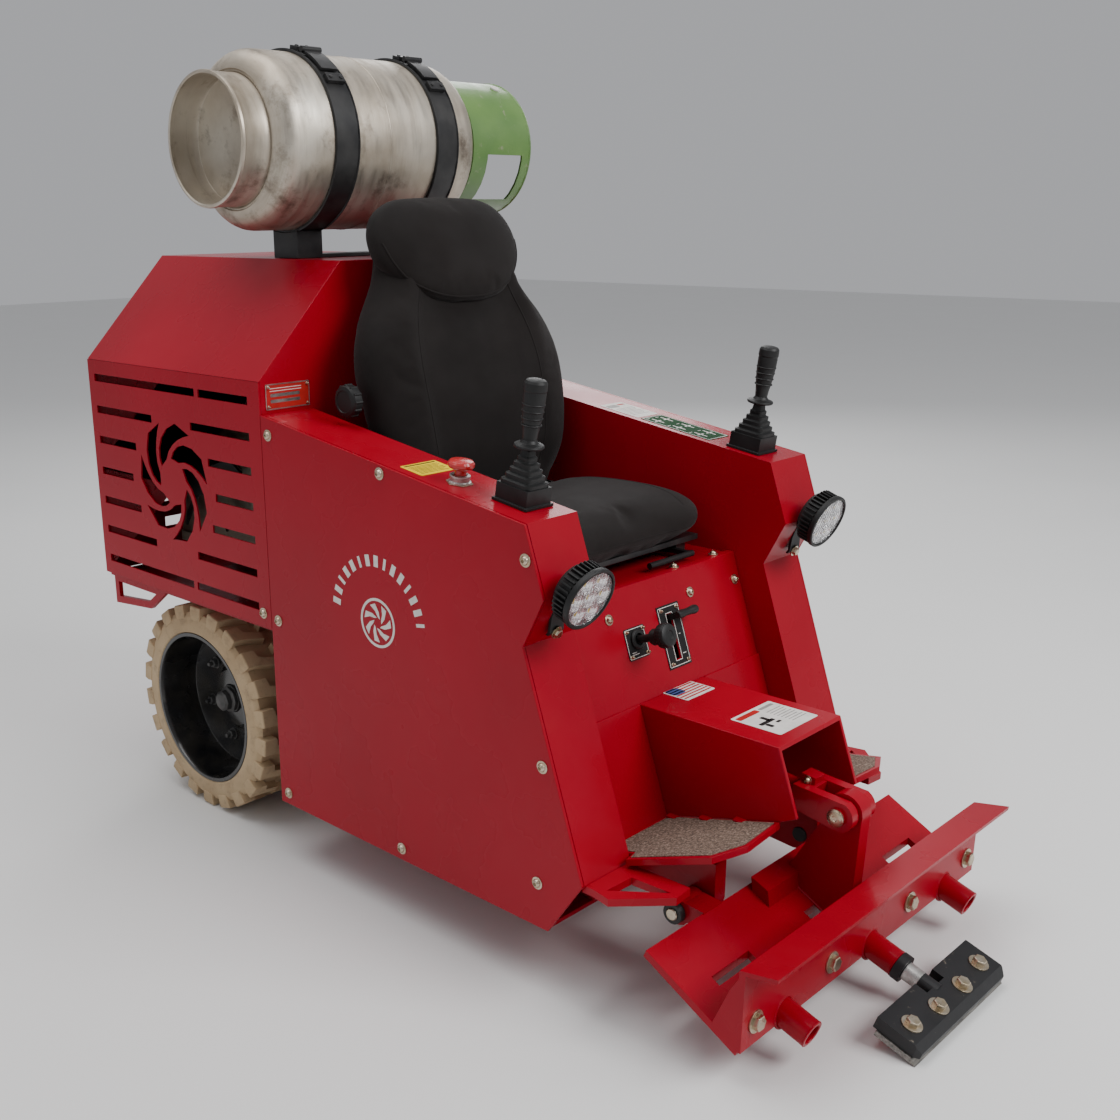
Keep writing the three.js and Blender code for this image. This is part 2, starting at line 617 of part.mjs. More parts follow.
// ---------------------------------------------------------------- scraper head
function headFrame() {
  const span = [-HEAD_HALF, HEAD_HALF];
  const plate = prism('x', [[-742, 130], [-884, 54], [-880, 44], [-738, 120]], ...span);
  const slots = [-220, 0, 220].map((x) => block([x - 42, x + 42], [-819, -806], [40, 140]));
  const wall = prism('x', [[-877, 50], [-887, 50], [-889, 160], [-880, 160]], ...span);
  const lip = prism('x', [[-880, 156], [-932, 166], [-933, 172], [-880, 162]], ...span);
  const ends = [-1, 1].map((side) => prism('x',
    [[-845, 74], [-880, 52], [-886, 110], [-884, 158], [-868, 130]],
    side * HEAD_HALF, side * (HEAD_HALF - 8)));
  const barrels = [-1, 1].flatMap((side) => [
    ring('x', PIVOT.radius + GAP, 20, side * 150, side * 192, [0, PIVOT.y, PIVOT.z], 24),
    prism('x', [[-714, 104], [-712, 134], [-744, 131], [-742, 118]], side * 150, side * 192),
  ]);
  const pad = arc(ROD_PIN.y, ROD_PIN.z, 27, -20, 200, 11);
  const lug = cut(
    prism('x', [...pad, [-858, 66], [-752, 122]], -12, 12),
    rod('x', ROD_PIN.radius + 4, -20, 20, [0, ROD_PIN.y, ROD_PIN.z], 24));
  const bar = prism('x', [[-752, 118], [-748, 146], [-776, 134], [-780, 104]], -88, 88);
  return join(cut(plate, ...slots), wall, lip, ...ends, ...barrels, lug, bar);
}

// The three shank sockets are drawn in the sloping frame that the blade shank also uses.
function socketTubes() {
  const length = 70;
  return [-218, 0, 218].map((x) => ({
    body: rod('y', 19, 0, length, [x, 0, 0], 20),
    bore: rod('y', SHANK.radius + 0.6, -5, length - 8, [x, 0, 0], 20),
  }));
}

function inShankFrame(solid) {
  const place = new THREE.Matrix4().makeRotationX(SHANK.tilt);
  place.setPosition(0, SHANK.y, SHANK.z);
  return toSolid(toGeometry(solid).applyMatrix4(place));
}

function headWithSockets() {
  const tubes = socketTubes().map(({ body, bore }) =>
    ({ body: inShankFrame(body), bore: inShankFrame(bore) }));
  return cut(join(headFrame(), ...tubes.map((tube) => tube.body)), ...tubes.map((tube) => tube.bore));
}

function bladeHolder() {
  const shank = rod('y', SHANK.radius, -62, 55, [0, 0, 0], 20);
  const collar = rod('y', 20, -14, -2, [0, 0, 0], 24);
  const plate = prism('z', [[-125, -38], [-24, -38], [-24, -56], [24, -56], [24, -38], [125, -38],
    [125, -96], [119, -104], [-119, -104], [-125, -96]], -8, 10);
  const underside = block([-30, 30], [-70, -37], [-20, -8]);
  const chamfer = prism('x', [[-105, 0], [-105, 11], [-92, 11]], -130, 130);
  return cut(join(shank, collar, plate), underside, chamfer);
}

// Blade clamped under the holder; its front corner is the cutting edge on the floor.
function cuttingBlade() {
  const thickness = 8;
  const top = -8.4;
  const edge = -(SHANK.z + (top - thickness) * Math.cos(SHANK.tilt)) / Math.sin(SHANK.tilt);
  return prism('x', [[-44, top], [edge + 8, top], [edge, top - thickness], [-44, top - thickness]],
    -127, 127);
}

// ---------------------------------------------------------------- lift cylinder
// Drawn in a frame at the rod pin whose +Y runs back up the cylinder.
function liftBarrel() {
  const tube = ring('y', 19, 25, 190, 470, [0, 0, 0], 24);
  const gland = ring('y', 11.5, 23, 184, 200, [0, 0, 0], 24);
  const cap = rod('y', 25, 466, 482, [0, 0, 0], 24);
  const eyeAt = [0, LIFT_LENGTH, 0];
  const eye = cut(join(block([-14, 14], [476, 500], [-18, 18]), rod('x', 22, -14, 14, eyeAt, 20)),
    rod('x', ANCHOR.radius + GAP, -20, 20, eyeAt, 16));
  return join(tube, gland, cap, eye);
}

function liftRod() {
  const rodBar = rod('y', 11, 50, 300, [0, 0, 0], 20);
  const piston = rod('y', 18.6, 290, 312, [0, 0, 0], 24);
  const yoke = block([-31, 31], [46, 72], [-18, 18]);
  const clamp = block([-12, 12], [50, 72], [15, 29]);
  const cheekLine = [[60, -18], ...arc(0, 0, 23, 250, 110, 8), [60, 18]];
  const cheeks = [-1, 1].map((side) => prism('x', cheekLine, side * 15, side * 31));
  const pin = rod('x', ROD_PIN.radius, -36, 36, [0, 0, 0], 20);
  return join(rodBar, piston, yoke, clamp, ...cheeks, pin);
}

function pivotPin(side) {
  const at = [0, PIVOT.y, PIVOT.z];
  const pin = rod('x', PIVOT.radius, side * 117, side * 200, at, 24);
  const head = rod('x', 15, side * 193, side * 203, at, 20);
  return join(pin, head);
}

// ---------------------------------------------------------------- assembly
const machine = new THREE.Group();

machine.add(
  node('chassis_frame', chassisFrame(), redPaint),
  node('front_panel', frontPanel(), redPaint),
  node('seat_deck', seatDeck(), redPaint),
  node('front_box', frontBox(), redPaint),
  node('hood_shell', hoodShell(), redPaint),
  node('engine_block', engineBlock(), castIron),
  node('hydraulic_pump', hydraulicPump(), castIron),
  node('hydraulic_tank', hydraulicTank(), blackPaint),
  node('oil_cooler', oilCooler(), aluminium),
  node('cooling_fan', coolingFan(), blackPlastic),
  node('tank_cradle', tankCradle(), blackPaint),
  node('gas_cylinder', gasCylinder(), aluminium),
  node('cylinder_collar', cylinderCollar(), greenPaint),
  node('cylinder_valve', cylinderValve(), brass),
  node('valve_handwheel', valveHandwheel(), buttonRed),
  node('seat_pan', seatPan(), blackPaint),
  node('seat_cushion', seatCushion(), fabric),
  node('backrest', backrest(), fabric),
  node('lumbar_knob', lumbarKnob(), blackPlastic),
  node('seat_lever', seatLever(), blackPlastic),
  node('head_frame', headWithSockets(), redPaint),
);

for (const [name, side] of Object.entries(SIDES)) {
  const stickY = -485;
  const stickAt = [side * 268, stickY, podTop(stickY)];
  machine.add(
    node(`side_panel_${name}`, sidePanel(side), redPaint),
    node(`pod_cover_${name}`, podCover(side), redPaint),
    node(`foot_plate_${name}`, footPlate(side), redPaint),
    node(`grille_panel_${name}`, grillePanel(side), redPaint),
    node(`wheel_rim_${name}`, wheelRim(side), blackPaint),
    node(`tyre_${name}`, tyre(side), tanRubber),
    node(`wheel_motor_${name}`, wheelMotor(side), castIron),
    node(`pivot_pin_${name}`, pivotPin(side), blackPaint),
    node(`caster_fork_${name}`, casterFork(side), zinc),
    node(`caster_wheel_${name}`, casterWheel(side), greyRubber),
    placed(stickAt, POD_SLOPE,
      node(`joystick_base_${name}`, joystickBase(), blackPlastic),
      node(`joystick_gimbal_${name}`, joystickGimbal(), zinc),
      node(`joystick_lever_${name}`, joystickLever(), blackPlastic)),
    placed([side * 286, -617, 562], THREE.MathUtils.degToRad(20),
      node(`work_light_${name}`, workLight(), blackPlastic)),
  );
}

BAND.centres.forEach((centre, i) => {
  const name = Object.keys(SIDES)[i];
  machine.add(
    node(`tank_band_${name}`, tankBand(centre), blackPaint),
    node(`band_latch_${name}`, bandLatch(centre), blackPaint),
  );
});

machine.add(
  placed([-285, -385, podTop(-385)], POD_SLOPE, node('estop_button', estopButton(), buttonRed)),
  placed([-51, panelY(427.6), 427.6], PANEL_TILT, node('choke_knob', chokeKnob(), blackPlastic)),
  placed([THROTTLE.x, THROTTLE.y, THROTTLE.z], THROTTLE.rest,
    node('throttle_lever', throttleLever(), blackPlastic)),
  placed([0, ROD_PIN.y, ROD_PIN.z], LIFT_ANGLE,
    node('lift_cylinder_barrel', liftBarrel(), redPaint),
    node('lift_cylinder_rod', liftRod(), redPaint)),
  placed([0, SHANK.y, SHANK.z], SHANK.tilt,
    node('blade_holder', bladeHolder(), blackPaint),
    node('cutting_blade', cuttingBlade(), bladeSteel)),
);

machine.updateMatrixWorld(true);
const extent = new THREE.Box3().setFromObject(machine, true);
machine.position.y = -(extent.min.y + extent.max.y) / 2;

export default machine;
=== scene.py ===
import json
from math import copysign, cos, pi, radians, sin

import bmesh
import bpy
from mathutils import Matrix, Vector
from mathutils.bvhtree import BVHTree


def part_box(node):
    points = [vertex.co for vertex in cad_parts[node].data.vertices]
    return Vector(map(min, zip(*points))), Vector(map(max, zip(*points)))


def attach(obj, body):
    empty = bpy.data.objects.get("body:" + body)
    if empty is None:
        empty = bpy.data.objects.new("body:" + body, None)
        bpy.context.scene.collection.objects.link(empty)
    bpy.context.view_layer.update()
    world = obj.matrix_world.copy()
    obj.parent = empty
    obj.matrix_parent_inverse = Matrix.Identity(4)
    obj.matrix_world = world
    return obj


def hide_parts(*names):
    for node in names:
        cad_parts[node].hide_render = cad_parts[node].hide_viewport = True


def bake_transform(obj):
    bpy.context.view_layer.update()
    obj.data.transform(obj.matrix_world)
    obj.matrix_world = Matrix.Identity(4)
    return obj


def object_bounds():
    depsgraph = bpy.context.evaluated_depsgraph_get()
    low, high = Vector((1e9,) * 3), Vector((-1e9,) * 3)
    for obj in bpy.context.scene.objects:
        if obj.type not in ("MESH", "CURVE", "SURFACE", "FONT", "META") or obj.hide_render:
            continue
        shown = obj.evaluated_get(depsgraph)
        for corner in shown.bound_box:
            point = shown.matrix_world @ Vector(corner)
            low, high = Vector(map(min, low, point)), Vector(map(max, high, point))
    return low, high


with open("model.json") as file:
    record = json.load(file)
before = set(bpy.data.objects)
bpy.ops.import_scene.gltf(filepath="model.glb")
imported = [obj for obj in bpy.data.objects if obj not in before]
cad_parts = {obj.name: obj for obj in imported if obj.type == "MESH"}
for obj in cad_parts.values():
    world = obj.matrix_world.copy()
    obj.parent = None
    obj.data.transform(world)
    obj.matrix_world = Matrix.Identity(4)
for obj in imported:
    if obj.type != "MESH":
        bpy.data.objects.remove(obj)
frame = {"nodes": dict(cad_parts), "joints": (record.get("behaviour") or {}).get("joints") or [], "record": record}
CAD_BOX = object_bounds()
NODES = frame["nodes"]
JOINTS = {j["name"]: j for j in frame["joints"]}
SIDES = {"right": -1, "left": 1}
MM = 0.001

# Shapes below are drawn in millimetres from a point on the floor under the housing's front wall.
ORIGIN = Vector((0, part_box("hood_shell")[0].y, 0))
POD_SLOPE = 0.1512          # fall of the pod tops towards the front
PANEL_SLOPE = 0.342         # forward run of the front panel per unit of drop
POD_NORMAL = Vector((0, -POD_SLOPE, 1)).normalized()
PANEL_NORMAL = Vector((0, -1, PANEL_SLOPE)).normalized()
FORWARD = Vector((0, -1, 0))
UP = Vector((0, 0, 1))
ACROSS = Vector((1, 0, 0))
SIDE_X = 330                # outer face of the side panels
HEAD_X = 308                # half length of the head's long welds
DECK_TOP = 503.1
BOX_SIDE, BOX_TOP = 80.3, 343.1
REAR_WALL = 507.8


def drawn(point):
    """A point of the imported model, in the drawing's millimetres."""
    return (Vector(point) - ORIGIN) / MM


def pod_top(y):
    """Height of the pods' sloping top."""
    return 736.8 + POD_SLOPE * y


def panel_y(z):
    """Place of the leaning front panel's face."""
    return -497 - (470 - z) * PANEL_SLOPE


# ---- materials
class Surface:
    """A Principled material with its own small node tree."""

    def __init__(self, name, color, roughness, metallic=0.0, **sockets):
        self.material = bpy.data.materials.new(name)
        self.material.use_nodes = True
        self.tree = self.material.node_tree
        self.shader = self.tree.nodes["Principled BSDF"]
        self.shader.inputs["Base Color"].default_value = (*color, 1)
        self.shader.inputs["Roughness"].default_value = roughness
        self.shader.inputs["Metallic"].default_value = metallic
        for socket, value in sockets.items():
            self.shader.inputs[socket.replace("_", " ")].default_value = value
        self.coords = self.node("ShaderNodeTexCoord").outputs["Object"]
        self.height = None

    def node(self, kind, **settings):
        made = self.tree.nodes.new(kind)
        for key, value in settings.items():
            setattr(made, key, value)
        return made

    def link(self, source, target):
        self.tree.links.new(source, target)

    def stretched(self, scale):
        mapping = self.node("ShaderNodeMapping")
        mapping.inputs["Scale"].default_value = scale
        self.link(self.coords, mapping.inputs["Vector"])
        return mapping.outputs["Vector"]

    def noise(self, scale, detail=4.0, stretch=None, rough=0.55):
        made = self.node("ShaderNodeTexNoise")
        made.inputs["Scale"].default_value = scale
        made.inputs["Detail"].default_value = detail
        made.inputs["Roughness"].default_value = rough
        self.link(self.stretched(stretch) if stretch else self.coords, made.inputs["Vector"])
        return made.outputs["Fac"]

    def ramp(self, source, stops):
        made = self.node("ShaderNodeValToRGB")
        ramp = made.color_ramp
        while len(ramp.elements) < len(stops):
            ramp.elements.new(0.5)
        for element, (place, color) in zip(ramp.elements, stops):
            element.position = place
            element.color = (*color, 1) if len(color) == 3 else color
        self.link(source, made.inputs["Fac"])
        return made.outputs["Color"]

    def color(self, source):
        self.link(source, self.shader.inputs["Base Color"])
        return self

    def mix(self, factor, one, two):
        made = self.node("ShaderNodeMix", data_type="RGBA")
        self.link(factor, made.inputs[0])
        for socket, value in ((made.inputs[6], one), (made.inputs[7], two)):
            if isinstance(value, tuple):
                socket.default_value = (*value, 1)
            else:
                self.link(value, socket)
        return made.outputs[2]

    def spread(self, source, low, high, start=0.3, end=0.7):
        made = self.node("ShaderNodeMapRange")
        for name, value in (("From Min", start), ("From Max", end), ("To Min", low), ("To Max", high)):
            made.inputs[name].default_value = value
        self.link(source, made.inputs["Value"])
        return made.outputs["Result"]

    def rough(self, source, low, high):
        self.link(self.spread(source, low, high), self.shader.inputs["Roughness"])
        return self

    def bump(self, source, strength, distance):
        made = self.node("ShaderNodeBump")
        made.inputs["Strength"].default_value = strength
        made.inputs["Distance"].default_value = distance
        self.link(source, made.inputs["Height"])
        if self.height:
            self.link(self.height, made.inputs["Normal"])
        self.height = made.outputs["Normal"]
        self.link(self.height, self.shader.inputs["Normal"])
        return self

    def wave(self, scale, direction, distortion=0.0):
        made = self.node("ShaderNodeTexWave", bands_direction=direction)
        made.inputs["Scale"].default_value = scale
        made.inputs["Distortion"].default_value = distortion
        self.link(self.coords, made.inputs["Vector"])
        return made.outputs["Fac"]


def red_paint():
    s = Surface("red_powder_coat", (0.31, 0.0005, 0.012), 0.27, Coat_Weight=0.06, Coat_Roughness=0.08,
                Specular_IOR_Level=0.16)
    tone = s.ramp(s.noise(2.4, 3), [(0.3, (0.29, 0.0003, 0.011)), (0.7, (0.35, 0.0007, 0.014))])
    dust = s.spread(s.noise(30, 6), 0.0, 0.02, 0.4, 0.95)
    s.color(s.mix(dust, tone, (0.36, 0.16, 0.14)))
    s.rough(s.noise(9, 3), 0.22, 0.34)
    return s.bump(s.noise(620, 2), 0.05, 0.0004)


def toned(name, color, roughness, tones, gloss=None, grain=None, marks=None, **sockets):
    """A surface whose color runs between tones by noise, with marks, uneven gloss and a fine bump.

    Tones, gloss and grain each start with their noise's scale and detail."""
    s = Surface(name, color, roughness, **sockets)
    tone = s.ramp(s.noise(*tones[:2]), tones[2:])
    if marks:
        scale, rough, most, start, end, worn = marks
        tone = s.mix(s.spread(s.noise(scale, 8, None, rough), 0.0, most, start, end), tone, worn)
    s.color(tone)
    if gloss:
        s.rough(s.noise(*gloss[:2]), *gloss[2:])
    if grain:
        s.bump(s.noise(*grain[:2]), *grain[2:])
    return s


def aluminium():
    s = Surface("scuffed_aluminium", (0.5, 0.45, 0.38), 0.45, 0.82)
    blotch = s.ramp(s.noise(7, 6), [(0.3, (0.33, 0.275, 0.21)), (0.5, (0.48, 0.425, 0.35)),
                                    (0.75, (0.64, 0.6, 0.52))])
    streak = s.spread(s.noise(5, 8, (14, 1, 1), 0.7), 0.0, 0.6, 0.5, 0.72)
    grime = s.spread(s.noise(16, 8, None, 0.7), 0.0, 0.85, 0.53, 0.7)
    s.color(s.mix(grime, s.mix(streak, blotch, (0.28, 0.235, 0.18)), (0.15, 0.115, 0.085)))
    s.rough(s.noise(13, 7, (6, 1, 1)), 0.32, 0.62)
    return s.bump(s.noise(60, 8, (9, 1, 1)), 0.16, 0.0006)


def blade_steel():
    s = Surface("worn_tool_steel", (0.25, 0.24, 0.225), 0.4, 0.9)
    scratch = s.noise(30, 8, (1, 8, 8), 0.7)
    s.color(s.ramp(scratch, [(0.35, (0.1, 0.095, 0.09)), (0.6, (0.3, 0.285, 0.26)),
                             (0.8, (0.5, 0.47, 0.43))]))
    return s.rough(scratch, 0.28, 0.6).bump(scratch, 0.2, 0.0005)


def holder_paint():
    s = Surface("chipped_black_holder", (0.01, 0.01, 0.01), 0.42, Specular_IOR_Level=0.4)
    chips = s.spread(s.noise(75, 8, None, 0.75), 0.0, 1.0, 0.62, 0.68)
    s.color(s.mix(chips, (0.01, 0.01, 0.011), (0.2, 0.17, 0.13)))
    return s.rough(s.noise(40, 5), 0.34, 0.55).bump(s.noise(140, 5), 0.16, 0.0005)


def seat_cloth():
    s = Surface("black_seat_cloth", (0.011, 0.009, 0.0085), 0.88, Sheen_Weight=0.06, Sheen_Roughness=0.5,
                Specular_IOR_Level=0.2)
    s.color(s.ramp(s.noise(6, 5), [(0.3, (0.0065, 0.0048, 0.0043)), (0.75, (0.012, 0.009, 0.0082))]))
    s.rough(s.noise(14, 4), 0.78, 0.95)
    weave = s.node("ShaderNodeMath", operation="MULTIPLY")
    s.link(s.wave(430, "X"), weave.inputs[0])
    s.link(s.wave(430, "DIAGONAL"), weave.inputs[1])
    return s.bump(weave.outputs[0], 0.35, 0.0004).bump(s.noise(38, 4), 0.18, 0.0015)


def grip_tape():
    s = Surface("gritty_tread_tape", (0.1, 0.085, 0.07), 0.85, Specular_IOR_Level=0.3)
    grit = s.noise(300, 4, None, 0.85)
    s.color(s.ramp(grit, [(0.38, (0.05, 0.035, 0.025)), (0.52, (0.17, 0.12, 0.09)),
                          (0.68, (0.46, 0.37, 0.3))]))
    return s.bump(grit, 0.9, 0.0012)


def label(name, color, roughness):
    dim = tuple(0.8 * c for c in color)
    return toned(name, color, roughness, (60, 5, (0.25, dim), (0.6, color)),
                 (30, 4, roughness - 0.08, roughness + 0.12), Specular_IOR_Level=0.1)


def plate_metal():
    s = Surface("etched_plate", (0.5, 0.49, 0.47), 0.32, 0.9)
    s.color(s.ramp(s.noise(80, 6), [(0.3, (0.36, 0.35, 0.33)), (0.7, (0.62, 0.6, 0.58))]))
    return s.rough(s.noise(60, 5, (1, 8, 8)), 0.24, 0.45)


def lens_glass():
    s = Surface("lamp_lens", (0.96, 0.96, 0.98), 0.06, Transmission_Weight=0.92, IOR=1.45)
    return s.bump(s.wave(48, "X"), 0.25, 0.0008)


def mirror_cup():
    s = Surface("lamp_reflector", (0.85, 0.84, 0.82), 0.12, 1.0)
    facets = s.node("ShaderNodeTexVoronoi")
    facets.inputs["Scale"].default_value = 240
    s.link(s.coords, facets.inputs["Vector"])
    return s.bump(facets.outputs["Distance"], 0.6, 0.001)


FINISH = {
    "red_paint": red_paint(), "bare_aluminium": aluminium(), "blade_steel": blade_steel(),
    "seat_fabric": seat_cloth(),
    "green_paint": toned(
        "worn_green_paint", (0.09, 0.19, 0.045), 0.4,
        (8, 4, (0.3, (0.06, 0.15, 0.03)), (0.7, (0.12, 0.23, 0.055))), (20, 5, 0.3, 0.55),
        (220, 4, 0.1, 0.0005), (34, 0.72, 0.8, 0.6, 0.7, (0.3, 0.28, 0.2)), Coat_Weight=0.2),
    "tan_tread": toned(
        "tan_rubber", (0.45, 0.33, 0.19), 0.8,
        (11, 6, (0.3, (0.38, 0.265, 0.15)), (0.7, (0.53, 0.395, 0.24))), (30, 5, 0.7, 0.92),
        (190, 6, 0.35, 0.0008), (42, 0.7, 0.75, 0.52, 0.75, (0.2, 0.14, 0.085))),
    "black_paint": toned(
        "black_satin_paint", (0.009, 0.009, 0.01), 0.4,
        (26, 6, (0.35, (0.008, 0.008, 0.009)), (0.75, (0.03, 0.029, 0.028))),
        (18, 5, 0.3, 0.5), (480, 2, 0.07, 0.0004), Specular_IOR_Level=0.4),
    "black_plastic": toned(
        "black_moulded_plastic", (0.009, 0.009, 0.009), 0.5,
        (40, 5, (0.3, (0.005, 0.005, 0.005)), (0.8, (0.013, 0.013, 0.013))),
        (30, 4, 0.42, 0.6), (900, 2, 0.12, 0.0003), Specular_IOR_Level=0.35),
    "cast_metal": toned(
        "oily_cast_metal", (0.09, 0.09, 0.09), 0.55,
        (30, 6, (0.3, (0.05, 0.05, 0.05)), (0.7, (0.16, 0.155, 0.15))),
        (20, 5, 0.4, 0.7), (260, 4, 0.3, 0.0008), metallic=0.7),
    "brass_fitting": toned(
        "machined_brass", (0.5, 0.36, 0.14), 0.3,
        (60, 5, (0.3, (0.36, 0.26, 0.1)), (0.7, (0.56, 0.42, 0.17))), (50, 5, 0.22, 0.45), metallic=1.0),
    "zinc_plate": toned(
        "zinc_plate", (0.5, 0.42, 0.3), 0.3,
        (90, 4, (0.3, (0.46, 0.37, 0.24)), (0.7, (0.62, 0.55, 0.44))), (70, 4, 0.22, 0.42), metallic=1.0),
    "grey_rubber": toned(
        "grey_wheel_rubber", (0.035, 0.035, 0.036), 0.7,
        (40, 6, (0.3, (0.025, 0.025, 0.026)), (0.7, (0.075, 0.07, 0.065))), grain=(200, 5, 0.25, 0.0006)),
    "button_red": toned(
        "red_button_plastic", (0.5, 0.012, 0.015), 0.28,
        (30, 4, (0.3, (0.45, 0.01, 0.013)), (0.7, (0.56, 0.02, 0.022))), grain=(300, 3, 0.05, 0.0003),
        Coat_Weight=0.4),
}
GLOSS_BLACK = toned("black_gloss_enamel", (0.006, 0.006, 0.007), 0.18,
                    (22, 6, (0.4, (0.005, 0.005, 0.006)), (0.8, (0.03, 0.026, 0.02))),
                    (16, 5, 0.14, 0.34), Coat_Weight=0.4, Coat_Roughness=0.1)
HOLDER = holder_paint()
GRIP = grip_tape()
PLATE = plate_metal()
LENS = lens_glass()
MIRROR = mirror_cup()
WHITE = label("white_label", (0.72, 0.7, 0.66), 0.6)
YELLOW = label("yellow_label", (0.78, 0.55, 0.02), 0.6)
INK = label("dark_print", (0.02, 0.02, 0.02), 0.5)
RED_INK = label("red_print", (0.45, 0.02, 0.02), 0.5)
BLUE_INK = label("blue_print", (0.06, 0.1, 0.28), 0.5)
GREEN_INK = label("green_print", (0.012, 0.055, 0.02), 0.7)
GREY_PRINT = label("grey_print", (0.28, 0.27, 0.26), 0.5)


# ---- shapes
def oriented(point, normal, along=ACROSS):
    """A frame at a point whose Z is the normal and whose X runs as near as it can along a direction."""
    z = Vector(normal).normalized()
    if abs(z.dot(Vector(along).normalized())) > 0.98:
        along = FORWARD
    x = (Vector(along) - z * z.dot(Vector(along))).normalized()
    y = z.cross(x)
    turn = Matrix((x, y, z)).transposed().to_4x4()
    return Matrix.Translation(Vector(point)) @ turn


def shifted(x, y=0):
    return Matrix.Translation((x, y, 0))


def spin(angle):
    return Matrix.Rotation(angle, 4, "Z")


def turns(count):
    """Angles spaced evenly round a circle."""
    return [2 * pi * i / count for i in range(count)]


def spun(profile, count=48):
    """A turned shape about Z, from (radius, height) points."""
    rings, verts, faces = [], [], []
    for radius, height in profile:
        if radius < 1e-6:
            rings.append([len(verts)])
            verts.append((0, 0, height))
            continue
        rings.append(list(range(len(verts), len(verts) + count)))
        verts += [(radius * cos(a), radius * sin(a), height) for a in turns(count)]
    pairs = list(zip(rings, rings[1:]))
    if len(rings[0]) > 1 and len(rings[-1]) > 1:
        pairs.append((rings[-1], rings[0]))
    for low, high in pairs:
        for i in range(count):
            k = (i + 1) % count
            if len(low) == 1:
                faces.append((low[0], high[k], high[i]))
            elif len(high) == 1:
                faces.append((low[i], low[k], high[0]))
            else:
                faces.append((low[i], low[k], high[k], high[i]))
    return verts, faces


def loft(rings):
    """A closed skin over rings of equal length, with both ends capped."""
    count = len(rings[0])
    verts = [v for ring in rings for v in ring]
    faces = [tuple(range(count))[::-1], tuple(range(len(verts) - count, len(verts)))]
    for r in range(len(rings) - 1):
        for i in range(count):
            k = (i + 1) % count
            faces.append((r * count + i, r * count + k, (r + 1) * count + k, (r + 1) * count + i))
    return verts, faces


def slab(outline, low, high):
    return loft([[(x, y, low) for x, y in outline], [(x, y, high) for x, y in outline]])


def brick(width, depth, low, high):
    w, d = width / 2, depth / 2
    return slab([(-w, -d), (w, -d), (w, d), (-w, d)], low, high)


def round_rect(width, depth, radius, steps=4):
    points = []
    for quarter, (sx, sy) in enumerate(((1, 1), (-1, 1), (-1, -1), (1, -1))):
        cx, cy = sx * (width / 2 - radius), sy * (depth / 2 - radius)
        for i in range(steps + 1):
            a = pi / 2 * (quarter + i / steps)
            points.append((cx + radius * cos(a), cy + radius * sin(a)))
    return points


def tube(path, radius, count=10):
    """A round bar along a line of points."""
    points = [Vector(p) for p in path]
    rings, side = [], None
    for i, point in enumerate(points):
        ahead = points[min(i + 1, len(points) - 1)] - points[max(i - 1, 0)]
        ahead.normalize()
        guess = side or (UP if abs(ahead.z) < 0.9 else ACROSS)
        side = (guess - ahead * ahead.dot(guess)).normalized()
        other = ahead.cross(side)
        rings.append([point + radius * (side * cos(a) + other * sin(a)) for a in turns(count)])
    return loft(rings)


def placed(name, data):
    """A new object in the scene's collection."""
    obj = bpy.data.objects.new(name, data)
    bpy.context.scene.collection.objects.link(obj)
    return obj


def finished(obj, surface, angle=35):
    """Give a mesh its surface and smooth shading with sharp edges."""
    obj.data.materials.append(surface.material)
    obj.data.shade_smooth()
    obj.data.set_sharp_from_angle(angle=radians(angle))


class Kit:
    """Gathers shapes into one mesh, which then rides on a body."""

    def __init__(self):
        self.verts, self.faces = [], []

    def add(self, shape, place=None):
        verts, faces = shape
        start = len(self.verts)
        place = place or Matrix.Identity(4)
        self.verts += [place @ Vector(v) for v in verts]
        self.faces += [[start + i for i in face] for face in faces]
        return self

    def build(self, name):
        mesh = bpy.data.meshes.new(name)
        mesh.from_pydata([ORIGIN + v * MM for v in self.verts], [], self.faces)
        made = bmesh.new()
        made.from_mesh(mesh)
        bmesh.ops.remove_doubles(made, verts=made.verts, dist=1e-6)
        bmesh.ops.recalc_face_normals(made, faces=made.faces)
        made.to_mesh(mesh)
        made.free()
        return placed(name, mesh)

    def piece(self, name, body, finish, bevel=0.4, angle=35, replaces=(), slot=None):
        """Build and attach the mesh. The finish is a material slot's name, or a surface of its own."""
        if isinstance(finish, str):
            slot, finish = finish, FINISH[finish]
        obj = self.build(name)
        finished(obj, finish, angle)
        if bevel:
            round_edges(obj, bevel, angle)
        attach(obj, body)
        if replaces:
            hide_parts(*replaces)
        return obj


def round_edges(obj, width, angle):
    bevel = obj.modifiers.new("edges", "BEVEL")
    bevel.width = width * MM
    bevel.segments = 2
    bevel.limit_method = "ANGLE"
    bevel.angle_limit = radians(angle)
    bevel.harden_normals = True
    bevel.use_clamp_overlap = True


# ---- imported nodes
EDGE = {
    "side_panel": 1.2, "pod_cover": 1.2, "hood_shell": 1.4, "front_panel": 1.2, "front_box": 1.4,
    "head_frame": 1.2, "grille_panel": 0.7, "blade_holder": 0.9, "cutting_blade": 0.25, "tank_cradle": 1.0,
    "chassis_frame": 0.9, "engine_block": 4.0, "hydraulic_tank": 3.0, "seat_pan": 1.2, "oil_cooler": 1.0,
}
OTHER_EDGE = 0.5
OWN_SURFACE = {"blade_holder": HOLDER}


